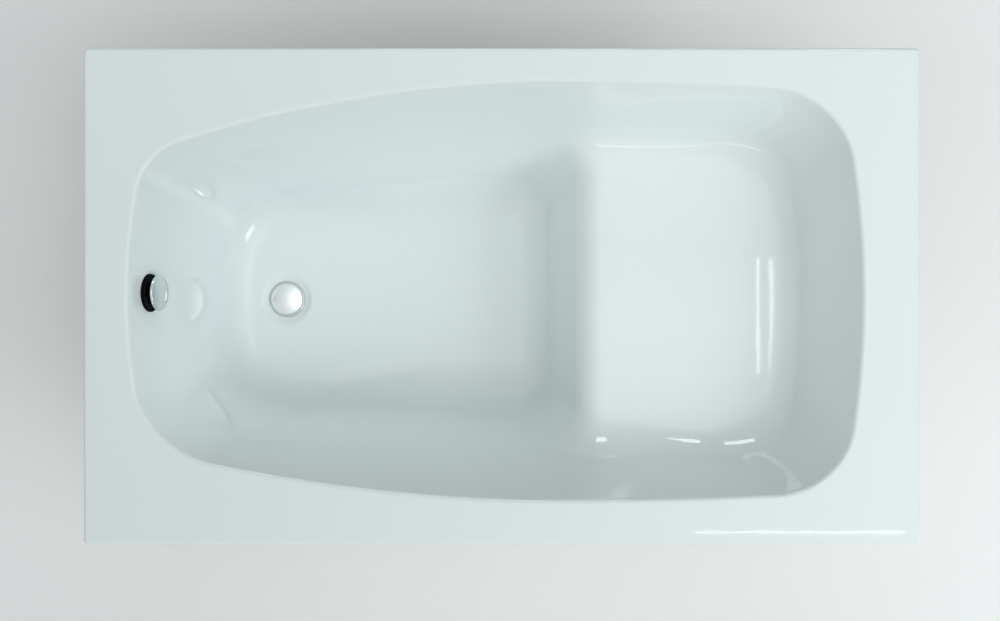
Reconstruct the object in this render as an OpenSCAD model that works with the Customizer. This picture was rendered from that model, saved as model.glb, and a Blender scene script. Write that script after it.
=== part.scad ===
// Rectangular bathtub with a moulded seat, a deep footwell, a turning overflow knob and a lifting plug.
// X runs from the foot end to the head end, Y from the front to the back, Z up from the floor.

/* [Rim] */
// Length over the rim
bath_l = 1600; // [1560:10:1700]
// Width over the rim
bath_w = 950; // [930:10:1050]
// Height of the rim above the floor
rim_h = 590; // [580:5:640]
// Plan radius of the rim's corners
rim_corner = 9; // [6:1:16]
// Radius along the rim's outer edge
rim_edge = 6; // [6:0.5:8]
// Radius where the rim turns down into the basin
mouth_edge = 10; // [10:0.5:14]
// Depth of the turned-down lip
lip_h = 40; // [35:1:60]
// Width of the rim at the foot end
deck_foot = 85; // [80:1:105]
// Width of the rim at the head end
deck_head = 108; // [100:1:130]
// Least width of the rim at the back
deck_back = 63; // [60:1:90]
// Least width of the rim at the front
deck_front = 83.5; // [70:0.5:110]

/* [Opening] */
// Place along the bath where the opening is widest
wide_x = 120; // [60:5:180]
// How far the back edge draws in at the foot end
taper_back = 103; // [70:1:120]
// How far the front edge draws in at the foot end
taper_front = 76; // [60:1:100]
// How far the back edge draws in at the head end
draw_back = 40; // [10:1:60]
// How far the front edge draws in at the head end
draw_front = 29; // [10:1:60]
// Bow of the foot end
foot_bow = 70; // [40:1:90]
// Bow of the head end
head_bow = 46; // [20:1:70]
// Corner radius at the foot end, back
foot_corner_back = 60; // [50:1:110]
// Corner radius at the foot end, front
foot_corner_front = 110; // [60:1:120]
// Corner radius at the head end, back
head_corner_back = 124; // [80:1:140]
// Corner radius at the head end, front
head_corner_front = 118; // [80:1:140]

/* [Basin] */
// Depth of the footwell below the rim, at the drain
foot_depth = 430; // [410:1:435]
// Depth of the seat below the rim
seat_depth = 200; // [180:1:230]
// From the head end of the opening to the foot of the riser
seat_run = 605; // [560:5:620]
// Lean of the riser from upright
riser_lean = 18.5; // [14:0.5:24]
// Radius at the foot of the riser
riser_foot = 40; // [30:1:50]
// Radius along the front edge of the seat
seat_edge = 34; // [26:1:44]
// Lean of the foot end wall
foot_lean = 17; // [14:0.5:19]
// Lean of the head end wall, the backrest
back_lean = 26.5; // [22:0.5:30]
// Lean of the side walls beside the footwell
well_lean = 22.5; // [20:0.5:24]
// Lean of the side walls beside the seat
seat_lean = 27; // [23:0.5:29]
// Radius between the footwell floor and its side walls
well_cove = 70; // [60:1:76]
// Radius between the footwell floor and the foot end wall
foot_cove = 46; // [38:1:50]
// Radius between the seat and the side walls
seat_cove = 56; // [46:1:64]
// Radius between the seat and the backrest
back_cove = 32; // [26:1:44]
// Fall of the footwell floor towards the drain
floor_fall = 0.01; // [0.005:0.001:0.015]

/* [Shell] */
// Thickness of the acrylic
shell_t = 4.5; // [4:0.25:5]
// Thickness of the glass fibre backing
backing_t = 3; // [2:0.5:3.5]
// Thickness of the boards under the floors
board_t = 16; // [12:1:19]

/* [Drain] */
// From the foot end of the opening to the middle of the drain
drain_run = 250; // [240:1:280]
// Sideways place of the drain
drain_y = -3; // [-10:1:10]
// Radius of the holes for the drain and the overflow
port_r = 26; // [26:0.5:27]
// Depth of the dish round the drain
dish_depth = 6; // [4:0.5:8]
// Outer radius of the dish
dish_r = 56; // [50:1:62]
// Radius of the drain ring
drain_ring_r = 39; // [38:0.5:40]
// Radius of the plug
plug_r = 33.5; // [31:0.5:35]
// How far the plug lifts
plug_lift = 12; // [8:1:12]

/* [Overflow] */
// Depth of the overflow's middle below the rim
overflow_drop = 82; // [76:1:100]
// Sideways place of the overflow
overflow_y = 7; // [-10:1:10]
// Radius of the black overflow ring
overflow_ring_r = 37.5; // [36:0.5:38.5]
// Radius of the turning knob
knob_r = 35; // [30:0.5:38]
// How far the knob stands off the ring
knob_stand = 15; // [10:1:20]
// Outer radius of the overflow hose
hose_r = 16; // [14:0.5:16]
// Outer radius of the pull cable
cable_r = 3; // [2.5:0.25:3]

/* [Trap] */
// Outer radius of the waste outlet pipe
outlet_r = 20; // [19:0.5:20]
// From the drain's middle to the end of the outlet pipe
outlet_reach = 235; // [200:5:300]
// Wall of the outlet pipe
outlet_wall = 2; // [1.5:0.25:3]
// Length of the pipe's free end, past its stop collar
spigot_l = 50; // [40:5:80]

/* [Underframe] */
// Thickness of the rail steel
rail_t = 2.5; // [2:0.25:3]
// Height of the rails
rail_h = 20; // [18:1:24]
// Sideways place of the feet under the footwell
foot_y = 250; // [240:1:270]
// Sideways place of the seat legs
leg_y = 185; // [160:1:210]
// Width of the square leg tubes
leg_w = 30; // [26:1:34]
// Radius of the threaded foot rods
rod_r = 6; // [5:0.5:7]
// Radius of the foot pads
pad_r = 25; // [22:1:30]

/* [Hidden] */
$fn = 64;

// Space between faces that lie on each other
lay_gap = 0.1;
// Space between curved faces that lie on each other
skin_gap = 0.3;
// Radial play of a shaft in its hole
run_gap = 0.05;
// Radial play of a pipe in its socket
socket_gap = 0.3;

// The opening's ends and sides, measured from the middle of the bath
open_foot = bath_l / 2 - deck_foot;
open_head = bath_l / 2 - deck_head;
open_back = bath_w / 2 - deck_back;
open_front = bath_w / 2 - deck_front;
taper_run = 700;
bow_run = 400;

// Places along the bath
drain_x = drain_run - open_foot;
riser_x = open_head - seat_run;
hub_x = -10;
seat_z = rim_h - seat_depth;
seat_blend = [riser_x - 60, riser_x + 180];
stack_t = shell_t + skin_gap + backing_t + skin_gap;

// The drain's seat, level, at the bottom of its dish
drain_seat_r = drain_ring_r + 2;
drain_seat_z = rim_h - foot_depth - dish_depth;
overflow_seat_r = overflow_ring_r + 2;

// Mesh of the moulded skin: rays round the hub and rings along each ray
rays = 72;
basin_rings = 24;
probe_steps = 44;
mouth_steps = 4;
lip_steps = 3;
solve_steps = 17;

// Eases from 0 at a to 1 at b
function ease(a, b, v) =
    let (t = min(1, max(0, (v - a) / (b - a))))
    t * t * (3 - 2 * t);
function mix(a, b, t) = a + (b - a) * t;
// Rounds an inner corner between two faces, from the free distance to each
function cove(a, b, r) = a < r && b < r ? r - norm([r - a, r - b]) : min(a, b);
// Rounds an outer corner between two faces, from the free distance to each
function brow(a, b, r) = a > -r && b > -r ? norm([a + r, b + r]) - r : max(a, b);

// Half width of the opening at x, on the back (side 1) or the front (side -1)
function half_width(x, side) =
    let (run = (x - wide_x) / taper_run,
         foot = side > 0 ? taper_back : taper_front,
         head = side > 0 ? draw_back : draw_front)
    (side > 0 ? open_back : open_front) - (run < 0 ? foot : head) * run * run;

// Distance inside the opening's edge, about, at a point of the plan
function inside(x, y) =
    let (side = y < 0 ? -1 : 1,
         bow = y * y / bow_run / bow_run,
         end_gap = x < 0 ? x + open_foot - foot_bow * bow : open_head - head_bow * bow - x,
         foot_corner = side > 0 ? foot_corner_back : foot_corner_front,
         head_corner = side > 0 ? head_corner_back : head_corner_front)
    cove(end_gap, half_width(x, side) - abs(y), x < 0 ? foot_corner : head_corner);

// Distance from the hub to the opening's edge in direction a
function edge_reach(a, low = 0, high = bath_l, n = 24) =
    let (mid = (low + high) / 2)
    n == 0 ? mid
    : inside(hub_x + mid * cos(a), mid * sin(a)) > 0 ? edge_reach(a, mid, high, n - 1)
    : edge_reach(a, low, mid, n - 1);

// Height of the footwell floor, with the dish round the drain
function floor_z(x, y) =
    rim_h - foot_depth + floor_fall * (x - drain_x)
    - (dish_depth + floor_fall * (x - drain_x))
        * (1 - ease(drain_seat_r, dish_r, norm([x - drain_x, y - drain_y])));

// Free distance above the basin's skin at a point, for a wall lean and a cove radius
function free_space(x, y, z, gap, lean, r) =
    let (flat = z - floor_z(x, y),
         seat = z - seat_z,
         riser_foot_z = rim_h - foot_depth,
         riser = (riser_x + (z - riser_foot_z) * tan(riser_lean) - x) * cos(riser_lean),
         bowl = cove(flat, brow(seat, riser, seat_edge), riser_foot))
    cove(bowl, gap * cos(lean) - (rim_h - z) * sin(lean), r);

// Lean of the wall and radius of its cove, for an edge normal n at x
function wall_lean(n, x) =
    mix(n.x < 0 ? foot_lean : back_lean,
        mix(well_lean, seat_lean, ease(seat_blend[0], seat_blend[1], x)), n.y * n.y);
function wall_cove(n, x) =
    mix(n.x < 0 ? foot_cove : back_cove,
        mix(well_cove, seat_cove, ease(seat_blend[0], seat_blend[1], x)), n.y * n.y);

// Height of the skin on a ray at a share of its reach, found by halving
function skin_z(ray, share, low, high, n = solve_steps) =
    let (mid = (low + high) / 2,
         x = hub_x + ray[1] * share * cos(ray[0]),
         y = ray[1] * share * sin(ray[0]),
         gap = (1 - share) * ray[1] * ray[3],
         lean = wall_lean(ray[2], x))
    n == 0 ? mid
    : free_space(x, y, mid, gap, lean, wall_cove(ray[2], x)) > 0
        ? skin_z(ray, share, low, mid, n - 1)
        : skin_z(ray, share, mid, high, n - 1);
function skin_point(ray, share) =
    [hub_x + ray[1] * share * cos(ray[0]), ray[1] * share * sin(ray[0]),
     skin_z(ray, share, drain_seat_z - 1, rim_h)];

// A ray: its direction, its reach, the edge's outward normal there and the cosine between the two
function make_ray(u) =
    let (a = atan2(bath_w * sin(u), bath_l * cos(u)),
         reach = edge_reach(a),
         x = hub_x + reach * cos(a),
         y = reach * sin(a),
         slope = [inside(x + 1, y) - inside(x - 1, y), inside(x, y + 1) - inside(x, y - 1)],
         n = -slope / norm(slope))
    [a, reach, n, n.x * cos(a) + n.y * sin(a)];

// The mouth's rounding runs from the wall's lean to the level rim
function mouth_tangent(lean) = mouth_edge * tan((90 - lean) / 2);
function mouth_lean(ray) = wall_lean(ray[2], hub_x + ray[1] * cos(ray[0]));
function mouth_share(ray) =
    let (lean = mouth_lean(ray))
    1 - mouth_tangent(lean) * sin(lean) / (ray[3] * ray[1]);

// Places along a ray at even steps of the skin's own length
function even_shares(ray) =
    let (last = mouth_share(ray),
         probes = [for (k = [0:probe_steps]) last * k / probe_steps],
         heights = [for (p = probes) skin_point(ray, p).z],
         steps = [for (k = [1:probe_steps])
             norm([(probes[k] - probes[k - 1]) * ray[1], heights[k] - heights[k - 1]])],
         sums = [for (k = 0, sum = 0; k <= probe_steps; sum = sum + (k < probe_steps ? steps[k] : 0),
             k = k + 1) sum],
         total = sums[probe_steps])
    [for (j = [1:basin_rings])
        let (goal = total * j / basin_rings,
             k = min(probe_steps - 1, len([for (s = sums) if (s <= goal) s]) - 1))
        mix(probes[k], probes[k + 1], (goal - sums[k]) / steps[k])];

// Point and normal on the mouth's rounding, at an angle above the horizontal
function mouth_place(ray, turn) =
    let (lean = mouth_lean(ray),
         gap = mouth_edge * cos(turn) - mouth_tangent(lean),
         r = ray[1] - gap / ray[3])
    [[hub_x + r * cos(ray[0]), r * sin(ray[0]), rim_h - mouth_edge + mouth_edge * sin(turn)],
     [-ray[2].x * cos(turn), -ray[2].y * cos(turn), sin(turn)]];

// Grid of the basin's skin, ring by ring from the hub to the level rim, as [point, normal] and, below
// the mouth, the distance in from the edge and the edge's normal
function skin_grid() =
    let (fan = [for (i = [0:rays - 1]) make_ray(360 * i / rays)],
         shares = [for (ray = fan) even_shares(ray)],
         lines = [for (i = [0:rays - 1]) [for (s = shares[i]) skin_point(fan[i], s)]],
         hub = [hub_x, 0, floor_z(hub_x, 0)])
    concat(
        [for (j = [0:basin_rings - 2])
            [for (i = [0:rays - 1])
                let (along = lines[i][j + 1] - (j == 0 ? hub : lines[i][j - 1]),
                     round = lines[(i + 1) % rays][j] - lines[(i + rays - 1) % rays][j],
                     n = cross(along, round),
                     gap = (1 - shares[i][j]) * fan[i][1] * fan[i][3])
                [lines[i][j], n / norm(n), gap, fan[i][2]]]],
        [for (m = [0:mouth_steps])
            [for (ray = fan) mouth_place(ray, mix(mouth_lean(ray), 90, m / mouth_steps))]]);

// How far the middle of a line between two grid points lies off the skin
function off_skin(g, h) =
    let (m = (g[0] + h[0]) / 2,
         n = (g[3] + h[3]) / norm(g[3] + h[3]))
    abs(free_space(m.x, m.y, m.z, (g[2] + h[2]) / 2, wall_lean(n, m.x), wall_cove(n, m.x)));

// For each square of the grid below the mouth, whether its diagonal from point i to i + 1 lies closer
function skin_splits(grid) =
    [for (j = [0:basin_rings - 3])
        [for (i = [0:rays - 1])
            let (k = (i + 1) % rays)
            off_skin(grid[j][i], grid[j + 1][k]) < off_skin(grid[j][k], grid[j + 1][i])]];

// A point of the rim's rounded rectangle, drawn in by inset, for ray angle u
corner_share = 15;
function rim_point(u, inset, z) =
    let (r = max(rim_corner - inset, 0.5),
         half_l = bath_l / 2 - inset,
         half_w = bath_w / 2 - inset,
         a = atan2(abs(sin(u)), abs(cos(u))),
         straight = 45 - corner_share,
         turn = 90 * (a - straight) / (2 * corner_share),
         p = a <= straight ? [half_l, (half_w - r) * a / straight]
             : a >= 90 - straight ? [(half_l - r) * (90 - a) / straight, half_w]
             : [half_l - r + r * cos(turn), half_w - r + r * sin(turn)])
    [p.x * sign(round(cos(u) * 1e6)), p.y * sign(round(sin(u) * 1e6)), z];
function rim_ring(inset, z) = [for (i = [0:rays - 1]) rim_point(360 * i / rays, inset, z)];

// The grid pushed down along its normals
function offset_rings(grid, t) = [for (ring = grid) [for (g = ring) g[0] - t * g[1]]];
function reversed(list) = [for (i = [len(list) - 1:-1:0]) list[i]];

// Solid closed by a list of rings and a point at each end; it starts and ends with the same grid, whose
// squares are split alike above and below
module closed_skin(first, rings, last, splits) {
    n = len(rings[0]);
    count = len(rings);
    points = concat([first], [for (ring = rings) each ring], [last]);
    tail = len(points) - 1;
    faces = concat(
        [for (i = [0:n - 1]) [0, 1 + (i + 1) % n, 1 + i]],
        [for (j = [0:count - 2], i = [0:n - 1])
            let (a = 1 + j * n + i,
                 b = 1 + j * n + (i + 1) % n,
                 row = min(j, count - 2 - j),
                 split = row < len(splits) ? splits[row][i] : i < n / 2)
            each split == (row == j) ? [[a, b, b + n], [a, b + n, a + n]]
                : [[a, b, a + n], [b, b + n, a + n]]],
        [for (i = [0:n - 1]) [tail, tail - n + i, tail - n + (i + 1) % n]]);
    polyhedron(points, faces, convexity = 10);
}

// Tube swept along a list of points, hollow if bore is more than 0
module swept_tube(path, r, bore, sides, ref) {
    count = len(path);
    function tangent(k) =
        let (t = path[min(k + 1, count - 1)] - path[max(k - 1, 0)])
        t / norm(t);
    function ring(k, rad) =
        let (t = tangent(k),
             u = cross(t, ref) / norm(cross(t, ref)),
             v = cross(t, u))
        [for (i = [0:sides - 1]) path[k] + rad * (cos(360 * i / sides) * u + sin(360 * i / sides) * v)];
    rings = concat([for (k = [0:count - 1]) ring(k, r)],
        bore > 0 ? [for (k = [count - 1:-1:0]) ring(k, bore)] : []);
    total = len(rings);
    wall = [for (j = [0:total - (bore > 0 ? 1 : 2)], i = [0:sides - 1])
        let (a = j * sides + i,
             b = j * sides + (i + 1) % sides,
             c = ((j + 1) % total) * sides + (i + 1) % sides,
             d = ((j + 1) % total) * sides + i)
        each [[a, b, c], [a, c, d]]];
    ends = bore > 0 ? [] : [
        reversed([for (i = [0:sides - 1]) i]),
        [for (i = [0:sides - 1]) (count - 1) * sides + i]];
    polyhedron([for (rg = rings) each rg], concat(wall, ends), convexity = 6);
}

// A point of a four-point curve
function curve_point(p, t) =
    pow(1 - t, 3) * p[0] + 3 * t * pow(1 - t, 2) * p[1] + 3 * t * t * (1 - t) * p[2] + pow(t, 3) * p[3];
function curve(p, steps) = [for (k = [0:steps]) curve_point(p, k / steps)];

module ring_disc(r, bore, h) {
    difference() {
        cylinder(r = r, h = h);
        translate([0, 0, -1]) cylinder(r = bore, h = h + 2);
    }
}

module hex_nut(across, h, bore) {
    difference() {
        cylinder(r = across / sqrt(3), h = h, $fn = 6);
        translate([0, 0, -1]) cylinder(r = bore, h = h + 2);
    }
}

// Frames of the two ports: the drain upright, the overflow square to the foot end wall
overflow_x = -open_foot + foot_bow * pow(overflow_y / bow_run, 2) + overflow_drop * tan(foot_lean);
overflow_z = rim_h - overflow_drop;
module at_drain() {
    translate([drain_x, drain_y, drain_seat_z]) children();
}
module at_overflow() {
    translate([overflow_x, overflow_y, overflow_z]) rotate([0, 90 - foot_lean, 0]) children();
}
// The place of a point given in the overflow's frame, whose x runs down the wall
down_wall = [sin(foot_lean), 0, -cos(foot_lean)];
off_wall = [cos(foot_lean), 0, sin(foot_lean)];
function overflow_point(x, y, z) =
    [overflow_x, overflow_y + y, overflow_z] + x * down_wall + z * off_wall;

// Moulded skin and its backing

module bath_shell() {
    grid = skin_grid();
    hub = [hub_x, 0, floor_z(hub_x, 0)];
    upper = concat(
        [for (ring = grid) [for (g = ring) g[0]]],
        [rim_ring(rim_edge, rim_h)],
        [for (k = [1:lip_steps])
            let (turn = 90 * k / lip_steps)
            rim_ring(rim_edge * (1 - sin(turn)), rim_h - rim_edge * (1 - cos(turn)))],
        [rim_ring(0, rim_h - lip_h)]);
    lower = concat(
        [rim_ring(shell_t, rim_h - lip_h), rim_ring(shell_t, rim_h - rim_edge)],
        [rim_ring(rim_edge, rim_h - shell_t)],
        reversed(offset_rings(grid, shell_t)));
    color("white")
    difference() {
        union() {
            closed_skin(hub, concat(upper, lower), hub - [0, 0, shell_t], skin_splits(grid));
            at_drain() translate([0, 0, -shell_t]) cylinder(r = drain_seat_r, h = shell_t);
            at_overflow() translate([0, 0, -shell_t]) cylinder(r = overflow_seat_r, h = shell_t);
        }
        at_drain() cylinder(r = drain_seat_r, h = 2 * dish_depth);
        at_drain() translate([0, 0, -3 * shell_t]) cylinder(r = drain_seat_r, h = 2 * shell_t);
        at_drain() translate([0, 0, -2 * shell_t]) cylinder(r = port_r, h = 3 * shell_t);
        at_overflow() cylinder(r = overflow_seat_r, h = 3 * shell_t);
        at_overflow() translate([0, 0, -3 * shell_t]) cylinder(r = overflow_seat_r, h = 2 * shell_t);
        at_overflow() translate([0, 0, -2 * shell_t]) cylinder(r = port_r, h = 3 * shell_t);
    }
}

// The backing stops short of the lip and leaves a bare ring round each port
backing_inset = 9;
port_bare = 3;
module glass_fibre_backing() {
    grid = skin_grid();
    near = shell_t + skin_gap;
    far = near + backing_t;
    hub = [hub_x, 0, floor_z(hub_x, 0)];
    color("burlywood")
    difference() {
        closed_skin(hub - [0, 0, near],
            concat(
                offset_rings(grid, near),
                [rim_ring(backing_inset, rim_h - near), rim_ring(backing_inset, rim_h - far)],
                reversed(offset_rings(grid, far))),
            hub - [0, 0, far], skin_splits(grid));
        at_drain() translate([0, 0, -3 * far]) cylinder(r = drain_seat_r + port_bare, h = 4 * far);
        at_overflow() translate([0, 0, -3 * far]) cylinder(r = overflow_seat_r + port_bare, h = 4 * far);
    }
}

// Boards and battens

board_end = 25;
drain_bare = 39;
foot_board_x = [drain_x + drain_seat_r + drain_bare, riser_x - riser_foot - board_end];
foot_board_w = 156;
foot_board_z = rim_h - foot_depth - stack_t - board_t;
seat_board_in = [160, 170];
seat_board_x = [riser_x + seat_board_in[0], open_head - seat_board_in[1]];
seat_board_w = 300;
seat_board_z = seat_z - stack_t - board_t;
rail_w = leg_w + 2 * rail_t + 1;
foot_rail_x = [foot_board_x[0] + rail_w + 9, foot_board_x[1] - rail_w - 9];
seat_rail_x = (seat_board_x[0] + seat_board_x[1]) / 2;
screw_r = 2.5;
screw_y = 50;
screw_l = 14;

module screw_holes(x, z) {
    for (side = [-1, 1])
        translate([x, side * screw_y, z - 1]) cylinder(r = screw_r + run_gap, h = screw_l, $fn = 24);
}

module footwell_board() {
    left = foot_board_x[0];
    right = foot_board_x[1];
    top = rim_h - foot_depth - stack_t;
    color("tan")
    difference() {
        rotate([90, 0, 0])
            linear_extrude(foot_board_w, center = true)
                polygon([[left, foot_board_z], [right, foot_board_z],
                    [right, top + floor_fall * (right - drain_x)],
                    [left, top + floor_fall * (left - drain_x)]]);
        for (x = foot_rail_x) screw_holes(x, foot_board_z);
    }
}

module seat_board() {
    color("tan")
    difference() {
        translate([seat_board_x[0], -seat_board_w / 2, seat_board_z])
            cube([seat_board_x[1] - seat_board_x[0], seat_board_w, board_t]);
        screw_holes(seat_rail_x, seat_board_z);
    }
}

batten_h = 20;
batten_l = 1100;
side_batten_w = 28;
end_batten_w = 36;
end_batten_l = 420;
batten_z = rim_h - stack_t - batten_h;
batten_edge = shell_t + 4;

module batten(x, y, l, w) {
    color("peru") translate([x - l / 2, y - w / 2, batten_z]) cube([l, w, batten_h]);
}
module rim_batten_front() {
    batten(0, -bath_w / 2 + batten_edge + side_batten_w / 2, batten_l, side_batten_w);
}
module rim_batten_back() {
    batten(0, bath_w / 2 - batten_edge - side_batten_w / 2, batten_l, side_batten_w);
}
module rim_batten_head() {
    batten(bath_l / 2 - batten_edge - end_batten_w / 2, 0, end_batten_w, end_batten_l);
}
module rim_batten_foot() {
    batten(-bath_l / 2 + batten_edge + end_batten_w / 2, 0, end_batten_w, end_batten_l);
}

// Rails, legs and their fasteners

rail_end = 18;
foot_rail_l = 2 * (foot_y + rail_end);
seat_rail_l = 2 * (leg_y + rail_end);
foot_web_z = foot_board_z - lay_gap;
seat_web_z = seat_board_z - lay_gap;
rod_play = 0.5;
bolt_r = 4;
bolt_drop = 12;

// Channel open below, its top at z
module rail(x, z, l) {
    difference() {
        translate([x - rail_w / 2, -l / 2, z - rail_h]) cube([rail_w, l, rail_h]);
        translate([x - rail_w / 2 + rail_t, -l / 2 - 1, z - rail_h - 1])
            cube([rail_w - 2 * rail_t, l + 2, rail_h - rail_t + 1]);
        for (side = [-1, 1])
            translate([x, side * screw_y, z - 2 * rail_t])
                cylinder(r = screw_r + rod_play / 2, h = 3 * rail_t, $fn = 24);
    }
}
module foot_rail(x) {
    color("silver")
    difference() {
        rail(x, foot_web_z, foot_rail_l);
        for (side = [-1, 1])
            translate([x, side * foot_y, foot_web_z - 2 * rail_t])
                cylinder(r = rod_r + rod_play, h = 3 * rail_t);
    }
}
module foot_rail_drain() {
    foot_rail(foot_rail_x[0]);
}
module foot_rail_riser() {
    foot_rail(foot_rail_x[1]);
}
module seat_rail() {
    color("silver")
    difference() {
        rail(seat_rail_x, seat_web_z, seat_rail_l);
        for (side = [-1, 1])
            translate([seat_rail_x - rail_w, side * leg_y, seat_web_z - bolt_drop])
                rotate([0, 90, 0]) cylinder(r = bolt_r + run_gap, h = 2 * rail_w, $fn = 32);
    }
}

leg_t = 2;
leg_foot_z = 105;
leg_plate = 3;
leg_top_z = seat_web_z - rail_t - lay_gap;
module seat_leg(side) {
    inner = leg_w - 2 * leg_t;
    color("silver")
    difference() {
        translate([seat_rail_x - leg_w / 2, side * leg_y - leg_w / 2, leg_foot_z])
            cube([leg_w, leg_w, leg_top_z - leg_foot_z]);
        translate([seat_rail_x - inner / 2, side * leg_y - inner / 2, leg_foot_z + leg_plate])
            cube([inner, inner, leg_top_z]);
        translate([seat_rail_x, side * leg_y, leg_foot_z - 1])
            cylinder(r = rod_r + rod_play, h = 2 * leg_plate);
        translate([seat_rail_x - rail_w, side * leg_y, seat_web_z - bolt_drop])
            rotate([0, 90, 0]) cylinder(r = bolt_r + run_gap, h = 2 * rail_w, $fn = 32);
    }
}
module seat_leg_front() {
    seat_leg(-1);
}
module seat_leg_back() {
    seat_leg(1);
}

bolt_head = [13, 5.3];
bolt_nut = [13, 6.5];
bolt_tail = 2;
module leg_bolts() {
    shank = rail_w + bolt_nut[1] + bolt_tail;
    color("gainsboro")
    for (side = [-1, 1])
        translate([seat_rail_x - rail_w / 2, side * leg_y, seat_web_z - bolt_drop]) rotate([0, 90, 0]) {
            translate([0, 0, -bolt_head[1] - lay_gap])
                cylinder(r = bolt_head[0] / sqrt(3), h = bolt_head[1], $fn = 6);
            translate([0, 0, -1]) cylinder(r = bolt_r, h = shank + 1, $fn = 32);
            translate([0, 0, rail_w + lay_gap]) hex_nut(bolt_nut[0], bolt_nut[1], bolt_r + run_gap);
        }
}

screw_head = [8, 4];
module rail_screws() {
    color("gainsboro")
    for (p = [[foot_rail_x[0], foot_web_z], [foot_rail_x[1], foot_web_z], [seat_rail_x, seat_web_z]])
        for (side = [-1, 1])
            translate([p[0], side * screw_y, p[1] - rail_t - lay_gap]) {
                translate([0, 0, -screw_head[1]])
                    cylinder(r = screw_head[0] / sqrt(3), h = screw_head[1], $fn = 6);
                cylinder(r = screw_r, h = screw_l - 1, $fn = 24);
            }
}

// Adjustable feet: two under each footwell rail and one under each seat leg

foot_places = [
    [foot_rail_x[0], -foot_y], [foot_rail_x[0], foot_y],
    [foot_rail_x[1], -foot_y], [foot_rail_x[1], foot_y],
    [seat_rail_x, -leg_y], [seat_rail_x, leg_y]];
rod_foot_z = 8;
pad_rim = 5;
pad_neck_r = rod_r + 6;
pad_h = 22;
nut_size = [19, 10];
nut_gap = 0.15;
rod_tail = 18;
function on_leg(i) = i > 4;
function nut_floors(i) = on_leg(i)
    ? [leg_foot_z - nut_gap - nut_size[1], leg_foot_z - 2 * (nut_gap + nut_size[1])]
    : [foot_web_z + nut_gap, foot_web_z - rail_t - nut_gap - nut_size[1]];
function rod_top(i) = on_leg(i) ? leg_foot_z + leg_plate + rod_tail : foot_web_z + nut_size[1] + rod_tail;

module at_foot(i) {
    translate([foot_places[i - 1].x, foot_places[i - 1].y, 0]) children();
}
module foot_pad(i) {
    color("dimgray")
    at_foot(i) rotate_extrude()
        polygon([[0, 0], [pad_r - 1, 0], [pad_r, 1], [pad_r, pad_rim], [pad_neck_r + 2, pad_rim + 5],
            [pad_neck_r, pad_h], [rod_r + run_gap, pad_h], [rod_r + run_gap, rod_foot_z],
            [0, rod_foot_z]]);
}
module foot_rod(i) {
    color("gainsboro")
    at_foot(i) translate([0, 0, rod_foot_z + lay_gap]) cylinder(r = rod_r, h = rod_top(i) - rod_foot_z);
}
module foot_nuts(i) {
    color("gainsboro")
    for (z = nut_floors(i))
        at_foot(i) translate([0, 0, z]) hex_nut(nut_size[0], nut_size[1], rod_r + run_gap);
}

// Overflow, in the frame of the foot end wall: z into the basin, x down the wall

flange_t = 4;
sleeve_r = port_r - 0.5;
sleeve_t = 3;
sleeve_l = 14;
gasket_t = 3;
body_wall = 3;
elbow_r = 32;
elbow_back = 58;
stub_r = hose_r + socket_gap + 3.5;
stub_z = -36;
stub_end = 58;
hose_seat = 13;
hub_r = 8;
shaft_r = 5;
arm_w = 4;
arm_root = 1.5;
arm_step = 0.4;
cable_port = [40, -26, -50];
ferrule_l = 16;
ferrule_r = cable_r + 1.5;
boss_r = ferrule_r + 2;

// Three arms that carry a hub with a shaft hole, between two levels
module spider(reach, low, high, hub, bore) {
    difference() {
        union() {
            for (a = [90, 210, 330])
                rotate([0, 0, a]) translate([hub - arm_root, -arm_w / 2, low + arm_step])
                    cube([reach - hub + arm_root, arm_w, high - low - 2 * arm_step]);
            translate([0, 0, low]) cylinder(r = hub, h = high - low);
        }
        translate([0, 0, low - 1]) cylinder(r = bore, h = high - low + 2);
    }
}

module overflow_flange() {
    face = lay_gap + flange_t;
    color([0.04, 0.05, 0.05])
    at_overflow() union() {
        rotate_extrude()
            polygon([[sleeve_r - sleeve_t, -sleeve_l], [sleeve_r, -sleeve_l], [sleeve_r, lay_gap],
                [overflow_ring_r, lay_gap], [overflow_ring_r, face - 1.5], [overflow_ring_r - 1.5, face],
                [sleeve_r - sleeve_t, face]]);
        spider(sleeve_r - sleeve_t / 2, -4, face, hub_r, shaft_r + run_gap);
    }
}

module overflow_gasket() {
    color([0.1, 0.1, 0.1])
    at_overflow() translate([0, 0, -shell_t - lay_gap - gasket_t])
        ring_disc(overflow_ring_r - 2, port_r + 0.5, gasket_t);
}

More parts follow.
